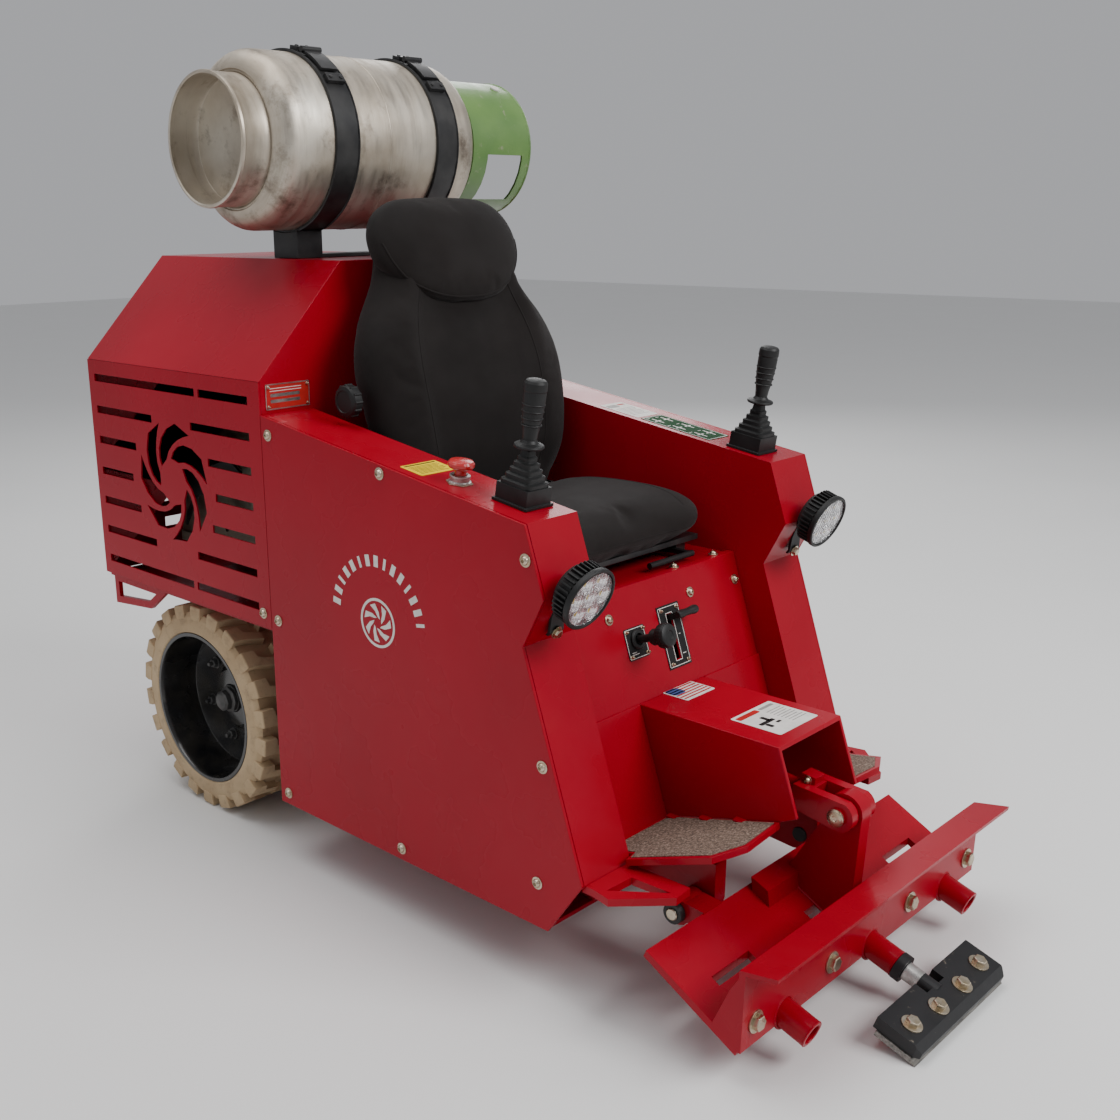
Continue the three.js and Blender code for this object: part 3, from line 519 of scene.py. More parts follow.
def dress(node, slot):
    """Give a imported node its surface, flat faces free of facets' seams, and softened edges."""
    obj = NODES[node]
    mesh = obj.data
    if "custom_normal" in mesh.attributes:
        mesh.attributes.remove(mesh.attributes["custom_normal"])
    mesh.materials.clear()
    mesh.materials.append(OWN_SURFACE.get(node, FINISH[slot]).material)
    weld = obj.modifiers.new("weld", "WELD")
    weld.merge_threshold = 0.00002
    flatten = obj.modifiers.new("flatten", "DECIMATE")
    flatten.decimate_type = "DISSOLVE"
    flatten.angle_limit = radians(0.6)
    mesh.shade_smooth()
    round_edges(obj, EDGE.get(node.removesuffix("_right").removesuffix("_left"), OTHER_EDGE), 30)


for entry in frame["record"]["subparts"]:
    dress(entry["node"], entry["material_slot"])


# ---- fasteners
def dome_bolt(radius=6.2):
    cap = [(0, -0.4), (radius * 1.45, -0.4), (radius * 1.45, 1.2), (radius, 1.4), (radius * 0.96, 3.2),
           (radius * 0.7, 5.2), (radius * 0.42, 5.8), (radius * 0.4, 3.4), (0, 3.4)]
    return spun(cap, 24)


def hex_bolt(radius=9.0, height=6.5, washer=13.0):
    top = height + 2.0
    head = [(0, 1.7), (radius, 1.7), (radius, height + 0.8), (radius * 0.88, top), (0, top)]
    kit = Kit().add(spun([(0, -0.3), (washer, -0.3), (washer, 1.8), (0, 1.8)], 28)).add(spun(head, 6))
    return kit.verts, kit.faces


def bolts(name, body, shape, places, bevel=0.25):
    kit = Kit()
    for point, normal in places:
        kit.add(shape, oriented(point, normal))
    return kit.piece(name, body, "zinc_plate", bevel)


side_places = []
for q in SIDES.values():
    for y, z in ((-18, 708), (-273, 683), (-548, 608.6), (-578, 336), (-22, 119.5), (-297.5, 118.4),
                 (-570, 165.3), (-19.7, 414.7), (19.4, 419)):
        side_places.append(((q * (SIDE_X + 0.1), y, z), (q, 0, 0)))
bolts("side_screws", "machine", dome_bolt(), side_places)
panel_places = [((x, panel_y(z) - 0.3, z), PANEL_NORMAL)
                for x, z in ((95, 466), (-101, 466), (214, 462), (-214, 462))]
deck_places = [((x, -474, DECK_TOP), UP) for x in (-190, -86, 86, 190)]
rear_places = [((x, REAR_WALL, z), (0, 1, 0)) for x in (-300, 300) for z in (420, 580, 740)]
box_places = [((q * BOX_SIDE, -576, 199), (q, 0, 0)) for q in (-1, 1)]
bolts("panel_screws", "machine", dome_bolt(5.6), panel_places + deck_places + rear_places)
bolts("box_screws", "machine", dome_bolt(5.2), box_places)


# ---- wheels
WHEEL_Y, WHEEL_Z = drawn(JOINTS["wheel_spin_right"]["pos_m"]).yz
TYRE_RADIUS, RIM_RADIUS, TYRE_OUT, TYRE_WIDTH = 187.2, 137.4, 309.3, 127.0
LUG_COUNT, NUT_COUNT, NUT_CIRCLE = 22, 6, 78


def lug(around, hand):
    """One tread block: a shoulder block with an arm that leans to the middle of the tread."""
    outline = [(61, -15), (61, 15), (39, 16.5), (3, 25), (3, 9), (34, 0), (37, -15)]
    rings = []
    for depth, grow in ((171.0, 1.08), (181.0, 1.03), (TYRE_RADIUS - 1.2, 1.0), (TYRE_RADIUS, 0.94)):
        ring = []
        for across, turn in outline:
            a = around + turn * grow / TYRE_RADIUS
            reach = across if across < 5 else min(across * (0.5 + 0.5 * grow), 62.5)
            ring.append((hand * reach, depth * cos(a), depth * sin(a)))
        rings.append(ring)
    return loft(rings)


def shoulder(around, hand):
    """The rounded outer end of a tread block."""
    section = [(54, 184), (60.5, 183.5), (63.2, 178), (63.2, 163), (60, 160), (54, 160)]
    rings = []
    for turn in (-15.5, -13.5, 13.5, 15.5):
        slim = 0.975 if abs(turn) > 14 else 1.0
        a = around + turn / TYRE_RADIUS
        rings.append([(hand * x * slim, r * cos(a), r * sin(a)) for x, r in section])
    return loft(rings)


def tyre(side, q):
    """Carcass with two rows of tread blocks, set half a block apart."""
    half = TYRE_WIDTH / 2
    middle = Vector((q * (TYRE_OUT - half), WHEEL_Y, WHEEL_Z))
    carcass = [(RIM_RADIUS, -half + 2), (RIM_RADIUS + 2, -half), (157, -half), (160, -half + 1.6),
               (163, -half + 1.6), (167, -half + 3.5), (173.5, -half + 8), (173.5, half - 8),
               (167, half - 3.5), (163, half - 1.6), (160, half - 1.6), (157, half),
               (RIM_RADIUS + 2, half), (RIM_RADIUS, half - 2)]
    kit = Kit().add(spun(carcass, 120), oriented(middle, (1, 0, 0), (0, 1, 0)))
    for i in range(LUG_COUNT):
        for hand, offset in ((1, 0), (-1, 0.5)):
            around = 2 * pi * (i + offset) / LUG_COUNT
            for block in (lug, shoulder):
                kit.add(block(around, hand), Matrix.Translation(middle))
    kit.piece(f"tyre_tread_{side}", f"wheel_{side}", "tan_tread", 0.8, 30, (f"tyre_{side}",))


def rim(side, q):
    """Deep dished rim with its hub, wheel nuts and hub cap."""
    outer = oriented((0, WHEEL_Y, WHEEL_Z), (q, 0, 0), (0, 1, 0))
    kit = Kit().add(spun([
        (26, 212), (44, 212), (50, 220), (126, 226), (129, 222), (129, 184), (136.6, 183.3), (136.8, 186),
        (131.6, 192), (131.6, 298), (136.8, 305), (136.9, 308.6), (130.5, 308.6), (127, 300), (126, 250),
        (122, 238), (96, 232), (60, 234), (52, 240), (34, 242), (26, 242)], 96), outer)
    kit.piece(f"rim_dish_{side}", f"wheel_{side}", GLOSS_BLACK, 0.8, 30, (f"wheel_rim_{side}",),
              "black_paint")
    trim = Kit()
    for i in range(NUT_COUNT):
        a = 2 * pi * (i + 0.3) / NUT_COUNT
        spot = outer @ Vector((NUT_CIRCLE * cos(a), NUT_CIRCLE * sin(a), 232.6))
        seat = oriented(spot, (q, 0, 0), (0, 1, 0))
        trim.add(hex_bolt(8.5, 8, 11), seat)
        trim.add(spun([(0, 8), (4, 8), (4, 17), (3, 18), (0, 18)], 12), seat)
    trim.piece(f"wheel_nuts_{side}", f"wheel_{side}", "cast_metal", 0.3)
    cap = spun([(0, 246.6), (24, 246.6), (24, 252), (19, 255), (19, 264), (15, 268), (0, 269)], 8)
    Kit().add(cap, outer).piece(f"hub_nut_{side}", f"wheel_{side}", "cast_metal", 0.8)


for side, q in SIDES.items():
    tyre(side, q)
    rim(side, q)


# ---- gas cylinder
TANK_Y, TANK_Z = drawn(JOINTS["handwheel_turn"]["pos_m"]).yz
along_tank = oriented((0, TANK_Y, TANK_Z), (1, 0, 0), (0, 1, 0))


def dome(start, length, least, top, steps=10):
    """Quarter-ellipse profile from the full radius to the least one."""
    return [(least + (top - least) * cos(t), start + length * sin(t))
            for t in (pi / 2 * i / steps for i in range(steps + 1))]


TANK_RADIUS, MIDDLE_WELD, FOOT_WELD, COLLAR_RIVET = 136.2, -27, -235.5, 296
shell = [(0, -224), (50, -230), (93, -238), (96.5, -246), (96.8, -284), (95.2, -289), (97.6, -290.8),
         (100.8, -289), (101.4, -284.5), (99.6, -282), (99.4, -250), (100, -238), (101, -234)]
right_dome = dome(-205, -38, 80, TANK_RADIUS)
shell += [p for p in reversed(right_dome) if p[0] > 103]
shell += [(TANK_RADIUS + rise, MIDDLE_WELD + along) for rise, along in ((0, -6), (0.2, -3), (0, 4))]
shell += dome(140, 62, 30, TANK_RADIUS)[:-1] + [(30, 203), (30, 213), (28, 214), (0, 214)]
Kit().add(spun(shell, 128), along_tank).piece(
    "cylinder_shell", "machine", "bare_aluminium", 0.5, 40, ("gas_cylinder",))

BEAD_SIDES, RIPPLE = 8, 3.2


def weld_bead(kit, path, radius):
    """A rippled fillet of weld along a line."""
    points = [Vector(p) for p in path]
    fine = []
    for a, b in zip(points, points[1:]):
        steps = max(2, int((b - a).length / RIPPLE))
        fine += [a.lerp(b, i / steps) for i in range(steps)]
    fine.append(points[-1])
    verts, faces = tube(fine, radius, BEAD_SIDES)
    rippled = []
    for i, v in enumerate(verts):
        ring = i // BEAD_SIDES
        middle = fine[ring]
        rippled.append(middle + (Vector(v) - middle) * (1.12 if ring % 2 else 0.86))
    kit.add((rippled, faces))


def ring_path(place, width, depth, height, count):
    """Points of a closed oval about a frame's Z, the first one repeated at the end."""
    return [place @ Vector((width * cos(t), depth * sin(t), height))
            for t in (2 * pi * i / count for i in range(count + 1))]


beads = Kit()
for radius, height, size in ((TANK_RADIUS - 0.9, MIDDLE_WELD, 1.8), (102.4, FOOT_WELD, 2.4)):
    weld_bead(beads, ring_path(along_tank, radius, radius, height, 90), size)
beads.piece("cylinder_welds", "machine", "bare_aluminium", 0, 60)

collar_rivet = Kit()
for turn in (radians(118), radians(62)):
    spot = along_tank @ Vector((114 * cos(turn), 114 * sin(turn), COLLAR_RIVET))
    normal = spot - Vector((COLLAR_RIVET, TANK_Y, TANK_Z))
    collar_rivet.add(spun([(0, -0.5), (8, -0.5), (8, 2), (5, 4), (0, 4.6)], 24), oriented(spot, normal))
collar_rivet.piece("collar_rivets", "machine", WHITE, 0.3)

rim_roll = Kit().add(spun([(110.2, 322), (113.8, 322), (115.4, 324.6), (113.8, 327.2), (110.2, 327.2),
                           (108.6, 324.6)], 96), along_tank)
rim_roll.piece("collar_rolled_rim", "machine", "green_paint", 0.4)

KEEPER_REACH = 143.2
rivet = spun([(0, 3), (3.4, 3), (3.2, 5), (0, 5.8)], 14)
for side, band_x in (("right", -119), ("left", 96)):
    edge = Kit()
    for offset in (-22.4, 22.4):
        edge.add(spun([(139.4, offset - 1.5), (141.2, offset - 0.9), (141.2, offset + 0.9),
                       (139.4, offset + 1.5)], 96),
                 oriented((band_x, TANK_Y, TANK_Z), (1, 0, 0), (0, 1, 0)))
    edge.piece(f"band_beading_{side}", "machine", "black_paint", 0.2)
    keeper = Kit()
    for turn in (radians(141), radians(103)):
        normal = Vector((0, cos(turn), sin(turn)))
        spot = Vector((band_x, TANK_Y + KEEPER_REACH * cos(turn), TANK_Z + KEEPER_REACH * sin(turn)))
        keeper.add(brick(34, 16, -3.6, 3.4), oriented(spot, normal))
        for x in (-10, 10):
            keeper.add(rivet, oriented(spot + Vector((x, 0, 0)), normal))
    keeper.piece(f"band_keeper_{side}", "machine", "black_paint", 0.6)


# ---- joysticks
def boot_rings(levels):
    """Rounded rectangles, one for each (width, depth, height) of a bellows."""
    return [[(x, y, height) for x, y in round_rect(width, depth, min(width, depth) * 0.2)]
            for width, depth, height in levels]


for side in SIDES:
    pivot = drawn(JOINTS[f"joystick_drive_{side}"]["pos_m"])
    base = oriented(pivot - POD_NORMAL * 16, POD_NORMAL)
    low_levels = [(42, 50, 25.6), (45.5, 53.5, 26.2), (45.5, 53.5, 31), (38, 45, 32.6), (37, 44, 34),
                  (38, 45, 34.4), (38, 45, 39), (31, 37, 40.6), (30, 36, 42)]
    high_levels = [(30, 36, 41.8), (31, 37, 42.4), (31, 37, 47), (25, 30, 48.6), (24, 29, 50),
                   (25, 30, 50.4), (25, 30, 55), (19, 22, 56.6), (18.5, 21, 58), (19, 22, 58.4),
                   (19, 22, 63), (16, 17, 65), (15, 15, 72)]
    lower = Kit().add(loft(boot_rings(low_levels)), base).build(f"boot_lower_{side}")
    upper = Kit().add(loft(boot_rings(high_levels)), base).build(f"boot_upper_{side}")
    for boot, bodies, heights in ((lower, ("machine", f"joystick_gimbal_{side}"), (26, 42)),
                                  (upper, (f"joystick_gimbal_{side}", f"joystick_lever_{side}"), (42, 68))):
        finished(boot, FINISH["black_plastic"])
        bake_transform(boot)
    grip = Kit()
    grip.add(spun([(0, 60), (7, 60), (7, 74), (10, 76), (19.5, 75.4), (20.5, 77.5), (19.5, 79.5), (12, 82),
                   (9.5, 86), (10.5, 96), (13, 112), (14.6, 130), (15, 146), (14.6, 149), (15.6, 150.5),
                   (15.2, 160), (13, 163.4), (9, 164.6), (0, 165)], 40), base)
    for i in range(4):
        ridge = spun([(12.6 + 0.6 * i, 104 + 9 * i), (14.2 + 0.5 * i, 105.4 + 9 * i),
                      (12.8 + 0.6 * i, 107 + 9 * i)], 40)
        grip.add(ridge, base)
    grip.piece(f"joystick_grip_{side}", f"joystick_lever_{side}", "black_plastic",
               0.5, 30, (f"joystick_lever_{side}",))


# ---- work lights
LAMP_X, LAMP_Y, LAMP_Z = 286, -617, 562
LAMP_TILT = radians(20)


def work_light(side, q):
    """Round finned lamp with seven diodes, on its strap and bolt."""
    body = f"work_light_{side}"
    face = Vector((0, -cos(LAMP_TILT), -sin(LAMP_TILT)))
    place = oriented((q * LAMP_X, LAMP_Y, LAMP_Z), face)
    shell = [(0, -36), (20, -36), (33, -33), (36.5, -26), (38, -14), (38, -6), (43.4, -5), (43.9, -3),
             (43.9, 1.6), (42.6, 3), (39.8, 3), (39, 1.4), (39, -8), (0, -8)]
    kit = Kit().add(spun(shell, 72), place)
    for a in turns(36):
        fin = slab([(30, -1.1), (42.8, -1.1), (42.8, 1.1), (30, 1.1)], -31, -7)
        trim = [(x, y, z + (6 if x > 36 and z < -20 else 0)) for x, y, z in fin[0]]
        kit.add((trim, fin[1]), place @ spin(a))
    kit.piece(f"lamp_housing_{side}", body, "black_plastic", 0.3, 30, (body,))
    cups = Kit().add(spun([(0, -7.6), (38.8, -7.6), (38.8, -6.9), (0, -6.9)], 48), place)
    spots = [(0, 0)] + [(25.5 * cos(a), 25.5 * sin(a)) for a in turns(6)]
    for x, y in spots:
        cup = spun([(3, -6.6), (7, -5.4), (11, -1.6), (12.4, -1.4), (11.6, -2.6), (7.4, -6.6)], 30)
        cups.add(cup, place @ shifted(x, y))
    cups.piece(f"lamp_reflectors_{side}", body, MIRROR, 0.2, slot="zinc_plate")
    diodes = Kit()
    for x, y in spots:
        diode = spun([(0, -6.7), (3.4, -6.7), (3.2, -5.4), (0, -4.6)], 16)
        diodes.add(diode, place @ shifted(x, y))
    diodes.piece(f"lamp_diodes_{side}", body, YELLOW, 0.2)
    glass = spun([(0, -1.0), (38.6, -1.0), (38.6, 0.9), (20, 1.5), (0, 1.7)], 72)
    Kit().add(glass, place).piece(f"lamp_lens_{side}", body, LENS, 0)
    pivot = drawn(JOINTS[f"light_tilt_{side}"]["pos_m"])
    rear = place @ Vector((0, 0, -34))
    low = place @ Vector((0, -34, -20))
    strap = []
    for point, width in ((rear, 11), (low + Vector((0, 16, 8)), 12), (low + Vector((0, 22, -8)), 12),
                         (pivot + Vector((0, -10, -3)), 14), (pivot + Vector((0, -5, -8)), 12)):
        strap.append([point + Vector((-width, 0, 0)), point + Vector((width, 0, 0)),
                      point + Vector((width, 4, 1.5)), point + Vector((-width, 4, 1.5))])
    Kit().add(loft(strap)).piece(f"lamp_strap_{side}", body, "black_plastic", 0.5)
    bolts(f"lamp_bolt_{side}", body, hex_bolt(6.5, 5, 9), [(pivot + Vector((0, -9, -4)), (0, -0.94, -0.34))])


for side, q in SIDES.items():
    work_light(side, q)


# ---- seat
def superellipse(width, low, high, power, count=44):
    """A rounded section, from its half width and its two limits across."""
    middle, half = (low + high) / 2, (high - low) / 2
    return [(width * copysign(abs(cos(t)) ** (2 / power), cos(t)),
             middle + half * copysign(abs(sin(t)) ** (2 / power), sin(t))) for t in turns(count)]


def blended(stations, steps):
    """Smooth rows between given stations of numbers."""
    rows = []
    for i in range(len(stations) - 1):
        p0, p1 = stations[max(i - 1, 0)], stations[i]
        p2, p3 = stations[i + 1], stations[min(i + 2, len(stations) - 1)]
        for k in range(steps):
            t = k / steps
            rows.append([0.5 * (2 * b + (c - a) * t + (2 * a - 5 * b + 4 * c - d) * t * t
                                + (3 * b - a - 3 * c + d) * t ** 3)
                         for a, b, c, d in zip(p0, p1, p2, p3)])
    return rows + [list(stations[-1])]


CLOTH_STEPS = 16


def stuffed(name, shape, body, node, voxel, pressure, cap):
    """A padded piece: remeshed, blown up as cloth, held near its shape and smoothed."""
    obj = Kit().add(shape).build(name)
    bpy.context.view_layer.objects.active = obj
    obj.select_set(True)
    remesh = obj.modifiers.new("voxels", "REMESH")
    remesh.mode = "VOXEL"
    remesh.voxel_size = voxel * MM
    bpy.ops.object.modifier_apply(modifier=remesh.name)
    start = [v.co.copy() for v in obj.data.vertices]
    cloth = obj.modifiers.new("cloth", "CLOTH")
    cloth.settings.effector_weights.gravity = 0
    cloth.settings.use_pressure = True
    cloth.settings.uniform_pressure_force = pressure
    cloth.settings.tension_stiffness = 14
    cloth.settings.bending_stiffness = 0.8
    cloth.point_cache.frame_start, cloth.point_cache.frame_end = 1, CLOTH_STEPS
    for step in range(1, CLOTH_STEPS + 1):
        bpy.context.scene.frame_set(step)
    solved = obj.evaluated_get(bpy.context.evaluated_depsgraph_get()).data
    moved = [v.co.copy() for v in solved.vertices]
    obj.modifiers.remove(cloth)
    bpy.context.scene.frame_set(1)
    for vertex, old, new in zip(obj.data.vertices, start, moved):
        shift = new - old
        if shift.length > cap * MM:
            shift *= cap * MM / shift.length
        vertex.co = old + shift
    relax = obj.modifiers.new("relax", "SMOOTH")
    relax.factor, relax.iterations = 0.5, 4
    bpy.ops.object.modifier_apply(modifier=relax.name)
    finer = obj.modifiers.new("finer", "SUBSURF")
    finer.levels = finer.render_levels = 1
    obj.data.materials.append(FINISH["seat_fabric"].material)
    obj.data.shade_smooth()
    obj.select_set(False)
    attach(obj, body)
    if node:
        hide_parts(node)
    return obj


def sewn(name, obj, body, lines, radius=1.5):
    """Seams laid on a padded piece: each line's points drop onto the surface along a direction."""
    tree = BVHTree.FromObject(obj, bpy.context.evaluated_depsgraph_get())
    kit = Kit()
    for points, direction in lines:
        run, aim = [], Vector(direction).normalized()
        for point in points:
            hit, normal, _, _ = tree.ray_cast(ORIGIN + (Vector(point) - aim * 300) * MM, aim, 0.7)
            if hit is not None:
                run.append((hit - ORIGIN) / MM - normal * radius * 0.35)
        if len(run) > 3:
            kit.add(tube(run, radius, 8))
    return kit.piece(name, body, "seat_fabric", 0, 60)


cushion_rows = blended([
    # y, half width, underside, top
    (-203, 176, 546, 588), (-214, 191, 539, 597), (-246, 203, 536, 603), (-310, 208, 535, 607),
    (-380, 207, 535, 608), (-425, 199, 535, 604), (-450, 184, 538, 595), (-463, 162, 544, 582),
    (-468, 138, 551, 572)], 4)
cushion_rings = []
for y, half, low, high in cushion_rows:
    ring = []
    for x, z in superellipse(half, low, high, 3.0):
        dish = 5.0 * (1 - min(1, abs(x) / 150) ** 2) if z > (low + high) / 2 else 0
        ring.append((x, y, z - dish))
    cushion_rings.append(ring)
cushion = stuffed("seat_cushion_cover", loft(cushion_rings), "seat", "seat_cushion", 6, 3.0, 9)

back_rows = blended([
    # z, half width, front y, back y
    (549, 142, -150, -100), (556, 160, -160, -92), (600, 184, -169, -80), (650, 200, -182, -72),
    (700, 211, -179, -62), (750, 216, -171, -52), (790, 217, -161, -44), (830, 210, -148, -38),
    (870, 193, -133, -31), (905, 170, -119, -27), (940, 150, -108, -24), (975, 138, -100, -22),
    (1010, 126, -90, -22), (1028, 108, -80, -28), (1036, 86, -70, -36)], 4)
back_rings = []
for z, half, front, back in back_rows:
    ring = []
    for x, y in superellipse(half, front, back, 2.9):
        share = min(1, max(0, (abs(x) / half - 0.45) / 0.35))
        pull = 19 * (1 - share * share * (3 - 2 * share)) if y < (front + back) / 2 else 0
        ring.append((x, y + pull * min(1, (1000 - z) / 120 if z > 880 else 1), z))
    back_rings.append(ring)
backrest = stuffed("backrest_cover", loft(back_rings), "backrest", "backrest", 6, 3.0, 9)

head_rows = blended([
    (893, 44, -122, -84), (900, 78, -127, -78), (912, 104, -128, -68), (930, 127, -125, -52),
    (952, 147, -118, -34), (978, 153, -111, -22), (1002, 149, -103, -14), (1024, 135, -93, -12),
    (1040, 113, -82, -18), (1049, 88, -70, -28)], 4)
head_rings = [[(x, y, z) for x, y in superellipse(half, front, back, 2.6)]
              for z, half, front, back in head_rows]
headrest = stuffed("headrest_pad", loft(head_rings), "backrest", None, 5, 3.0, 7)

seam_lines = [([(q * half * 0.60, -400, z) for z, half, _, _ in back_rows if 575 < z < 925], (0, 1, 0))
              for q in (-1, 1)]
sewn("backrest_seams", backrest, "backrest", seam_lines, 1.4)
half_brow = [(30, 902), (66, 908), (98, 920), (121, 936), (138, 960), (146, 985)]
brow = [(-x, -400, z) for x, z in half_brow[::-1]] + [(0, -400, 901)] + [(x, -400, z) for x, z in half_brow]
brow_line = [tuple(p) for p in blended(brow, 5)]
sewn("headrest_piping", headrest, "backrest", [(brow_line, (0, 1, 0))], 2.0)
front_seam = [(x, -800, 556) for x in range(-175, 176, 7)]
top_seams = [([(q * 138, y, 900) for y in range(-205, -452, -7)], (0, 0, -1)) for q in (-1, 1)]
sewn("cushion_seams", cushion, "seat", [(front_seam, (0, 1, 0))] + top_seams, 1.2)


# ---- hand controls
def press_button():
    """Mushroom stop button with its collar and nut."""
    place = oriented((-285, -385, pod_top(-385)), POD_NORMAL)
    cap = Kit().add(spun([(0, -10), (8, -10), (8, 19), (12, 20), (17, 22.6), (18.6, 25), (18.4, 28.6),
                          (16, 31.6), (9, 33.4), (0, 34)], 48), place)
    cap.piece("stop_button_cap", "estop", "button_red", 0.3, 30, ("estop_button",))
    collar = Kit().add(spun([(9.2, 0.3), (16, 0.3), (16, 3), (13.5, 3.6), (13.5, 8), (14.6, 8.6),
                             (14.6, 11.4), (12.4, 12.4), (9.2, 12.4)], 40), place)
    collar.piece("stop_button_collar", "machine", PLATE, 0.3, slot="zinc_plate")
    nut = spun([(15.2, 0.2), (19.5, 0.2), (19.5, 1.4), (15.2, 1.4)], 6)
    Kit().add(nut, place).piece("stop_button_plate", "machine", "zinc_plate", 0.2)


def choke():
    """Pull knob with a ribbed grip, in its bezel."""
    place = oriented((-51, panel_y(427.6), 427.6), PANEL_NORMAL)
    knob = [(0, -30), (6, -30), (6, 30), (11, 31), (12.5, 34), (11.5, 40), (11, 44), (16, 46), (18, 48.5),
            (18, 58), (16.6, 61.5), (13, 63.4), (7, 63.4), (6, 62.2), (0, 62)]
    kit = Kit().add(spun(knob, 48), place)
    for a in turns(24):
        kit.add(brick(1.6, 2.2, 49.5, 57.5), place @ spin(a) @ shifted(17.6))
    kit.piece("choke_knob_grip", "choke", "black_plastic", 0.3, 30, ("choke_knob",))
    ring = spun([(9, 1.4), (15, 1.4), (15, 4), (13, 5.8), (9, 5.8)], 40)
    Kit().add(ring, place).piece("choke_bezel", "machine", "black_plastic", 0.3)


def throttle():
    """Flat lever out of its slot, with a waisted handle across its end."""
    pivot = drawn(JOINTS["throttle_swing"]["pos_m"])
    angle = radians(25)
    reach = Vector((0, -cos(angle), sin(angle)))
    place = oriented(pivot, reach)
    kit = Kit().add(slab([(-2.4, -5), (2.4, -5), (2.4, 5), (-2.4, 5)], -4, 90), place)
    kit.add(tube([pivot + Vector((x, 0, 0)) for x in (-4, 4)], 9, 24))
    grip = oriented(pivot + reach * 88 + Vector((-6, 0, 0)), ACROSS, UP)
    kit.add(spun([(0, 0), (5, 0), (6.4, 2), (6.6, 14), (5.6, 18), (5.8, 30), (7.2, 42), (6.2, 47),
                  (0, 48)], 24), grip)
    kit.piece("throttle_handle", "throttle", "black_plastic", 0.4, 30, ("throttle_lever",))


def knob_on_seat():
    """Lobed lumbar knob."""
    spot = drawn(JOINTS["lumbar_turn"]["pos_m"])
    place = oriented((spot.x + 6, spot.y, spot.z), (-1, 0, 0), (0, 1, 0))
    kit = Kit().add(spun([(0, -8), (6, -8), (6, 0), (20, 0.6), (24, 3), (24.4, 6), (24.4, 16), (22, 19),
                          (17, 20.6), (16, 19.4), (0, 19.8)], 48), place)
    for a in turns(12):
        kit.add(spun([(0, 3), (2.6, 3.4), (2.6, 16), (0, 17.4)], 10), place @ spin(a) @ shifted(23.4))
    kit.piece("lumbar_knob_grip", "lumbar_knob", "black_plastic", 0.3, 30, ("lumbar_knob",))


press_button()
choke()
throttle()
knob_on_seat()


# ---- plates and labels
def card(name, place, width, height, surface, body="machine", thick=0.5, marks=(), radius=3):
    """A thin plate with rounded corners and flat printed marks on it."""
    kit = Kit().add(slab(round_rect(width, height, radius), 0.05, thick), place)
    kit.piece(name, body, surface, 0.12, 30)
    groups = {}
    for ink, x, y, w, h in marks:
        groups.setdefault(ink.material.name, (ink, Kit()))[1].add(
            slab(round_rect(w, h, min(w, h) * 0.25, 2), thick - 0.1, thick + 0.12),
            place @ shifted(x, y))
    for i, (ink, marked) in enumerate(groups.values()):
        marked.piece(f"{name}_print_{i}", body, ink, 0)


def lines(ink, x, top, width, count, pitch, height=1.6):
    """Bars in place of lines of print, every third one shorter."""
    return [(ink, x - width * 0.06 * short, top - i * pitch, width * (1 - 0.12 * short), height)
            for i, short in ((i, i % 3 == 2) for i in range(count))]


def border(ink, x, y, width, height, thick):
    """Four bars: two across at +-y, two upright at +-x."""
    return [(ink, 0, y, width, thick), (ink, 0, -y, width, thick),
            (ink, -x, 0, thick, height), (ink, x, 0, thick, height)]


front_wall = oriented((-276, -0.2, 762), (0, -1, 0))
card("data_plate", front_wall, 84, 40, RED_INK, thick=0.7, radius=2, marks=(
    border(PLATE, 41, 18.6, 82, 38, 1.6) + [(PLATE, -5, 2, 56, 5), (PLATE, -5, -7, 56, 5)]
    + lines(WHITE, -4, 12.5, 60, 2, 4, 1)))
rivets = [(front_wall @ Vector((x, y, 0.6)), (0, -1, 0)) for x in (-37, 37) for y in (-15, 15)]
bolts("data_plate_rivets", "machine", dome_bolt(1.7), rivets, 0.1)

near_pod = oriented((-278, -316, pod_top(-316)), POD_NORMAL)
card("caution_label", near_pod, 66, 46, YELLOW,
     marks=[(INK, 0, 18, 58, 3.2)] + lines(INK, 0, 11, 54, 7, 4.4, 1.1))

far_pod = oriented((270, -235, pod_top(-235)), POD_NORMAL)
card("guide_label_pale", far_pod, 58, 84, WHITE, marks=(
    [(GREY_PRINT, -12, 26, 26, 14), (RED_INK, 14, 30, 18, 5)] + lines(GREY_PRINT, 0, 10, 44, 7, 6)))
far_low = oriented((270, -352, pod_top(-352)), POD_NORMAL)
guide = border(WHITE, 26, 68, 52, 136, 1.4)
for row in range(3):
    for column in (-12, 12):
        guide += [(WHITE, column, 46 - 44 * row, 3, 26), (WHITE, column, 46 - 44 * row, 16, 3),
                  (WHITE, column - 6, 62 - 44 * row, 8, 1.4)]
card("guide_label_green", far_low, 58, 142, GREEN_INK, marks=guide)

choke_plate = oriented((-53.5, panel_y(423.5) - 0.2, 423.5), PANEL_NORMAL)
card("choke_plate", choke_plate, 47, 47, INK, thick=0.8, marks=border(WHITE, 21.5, 21.5, 42, 42, 1)
     + [(WHITE, -8, -16, 16, 1.2), (WHITE, -10, -13, 10, 1)])
slot_plate = oriented((33, panel_y(414.5) - 0.2, 414.5), PANEL_NORMAL)


def frame_of_bars(kit, bars, low, high):
    """Bars, given by their limits, that leave the lever's slot open."""
    for x0, x1, y0, y1 in bars:
        kit.add(slab([(x0, y0), (x1, y0), (x1, y1), (x0, y1)], low, high), slot_plate)
    return kit


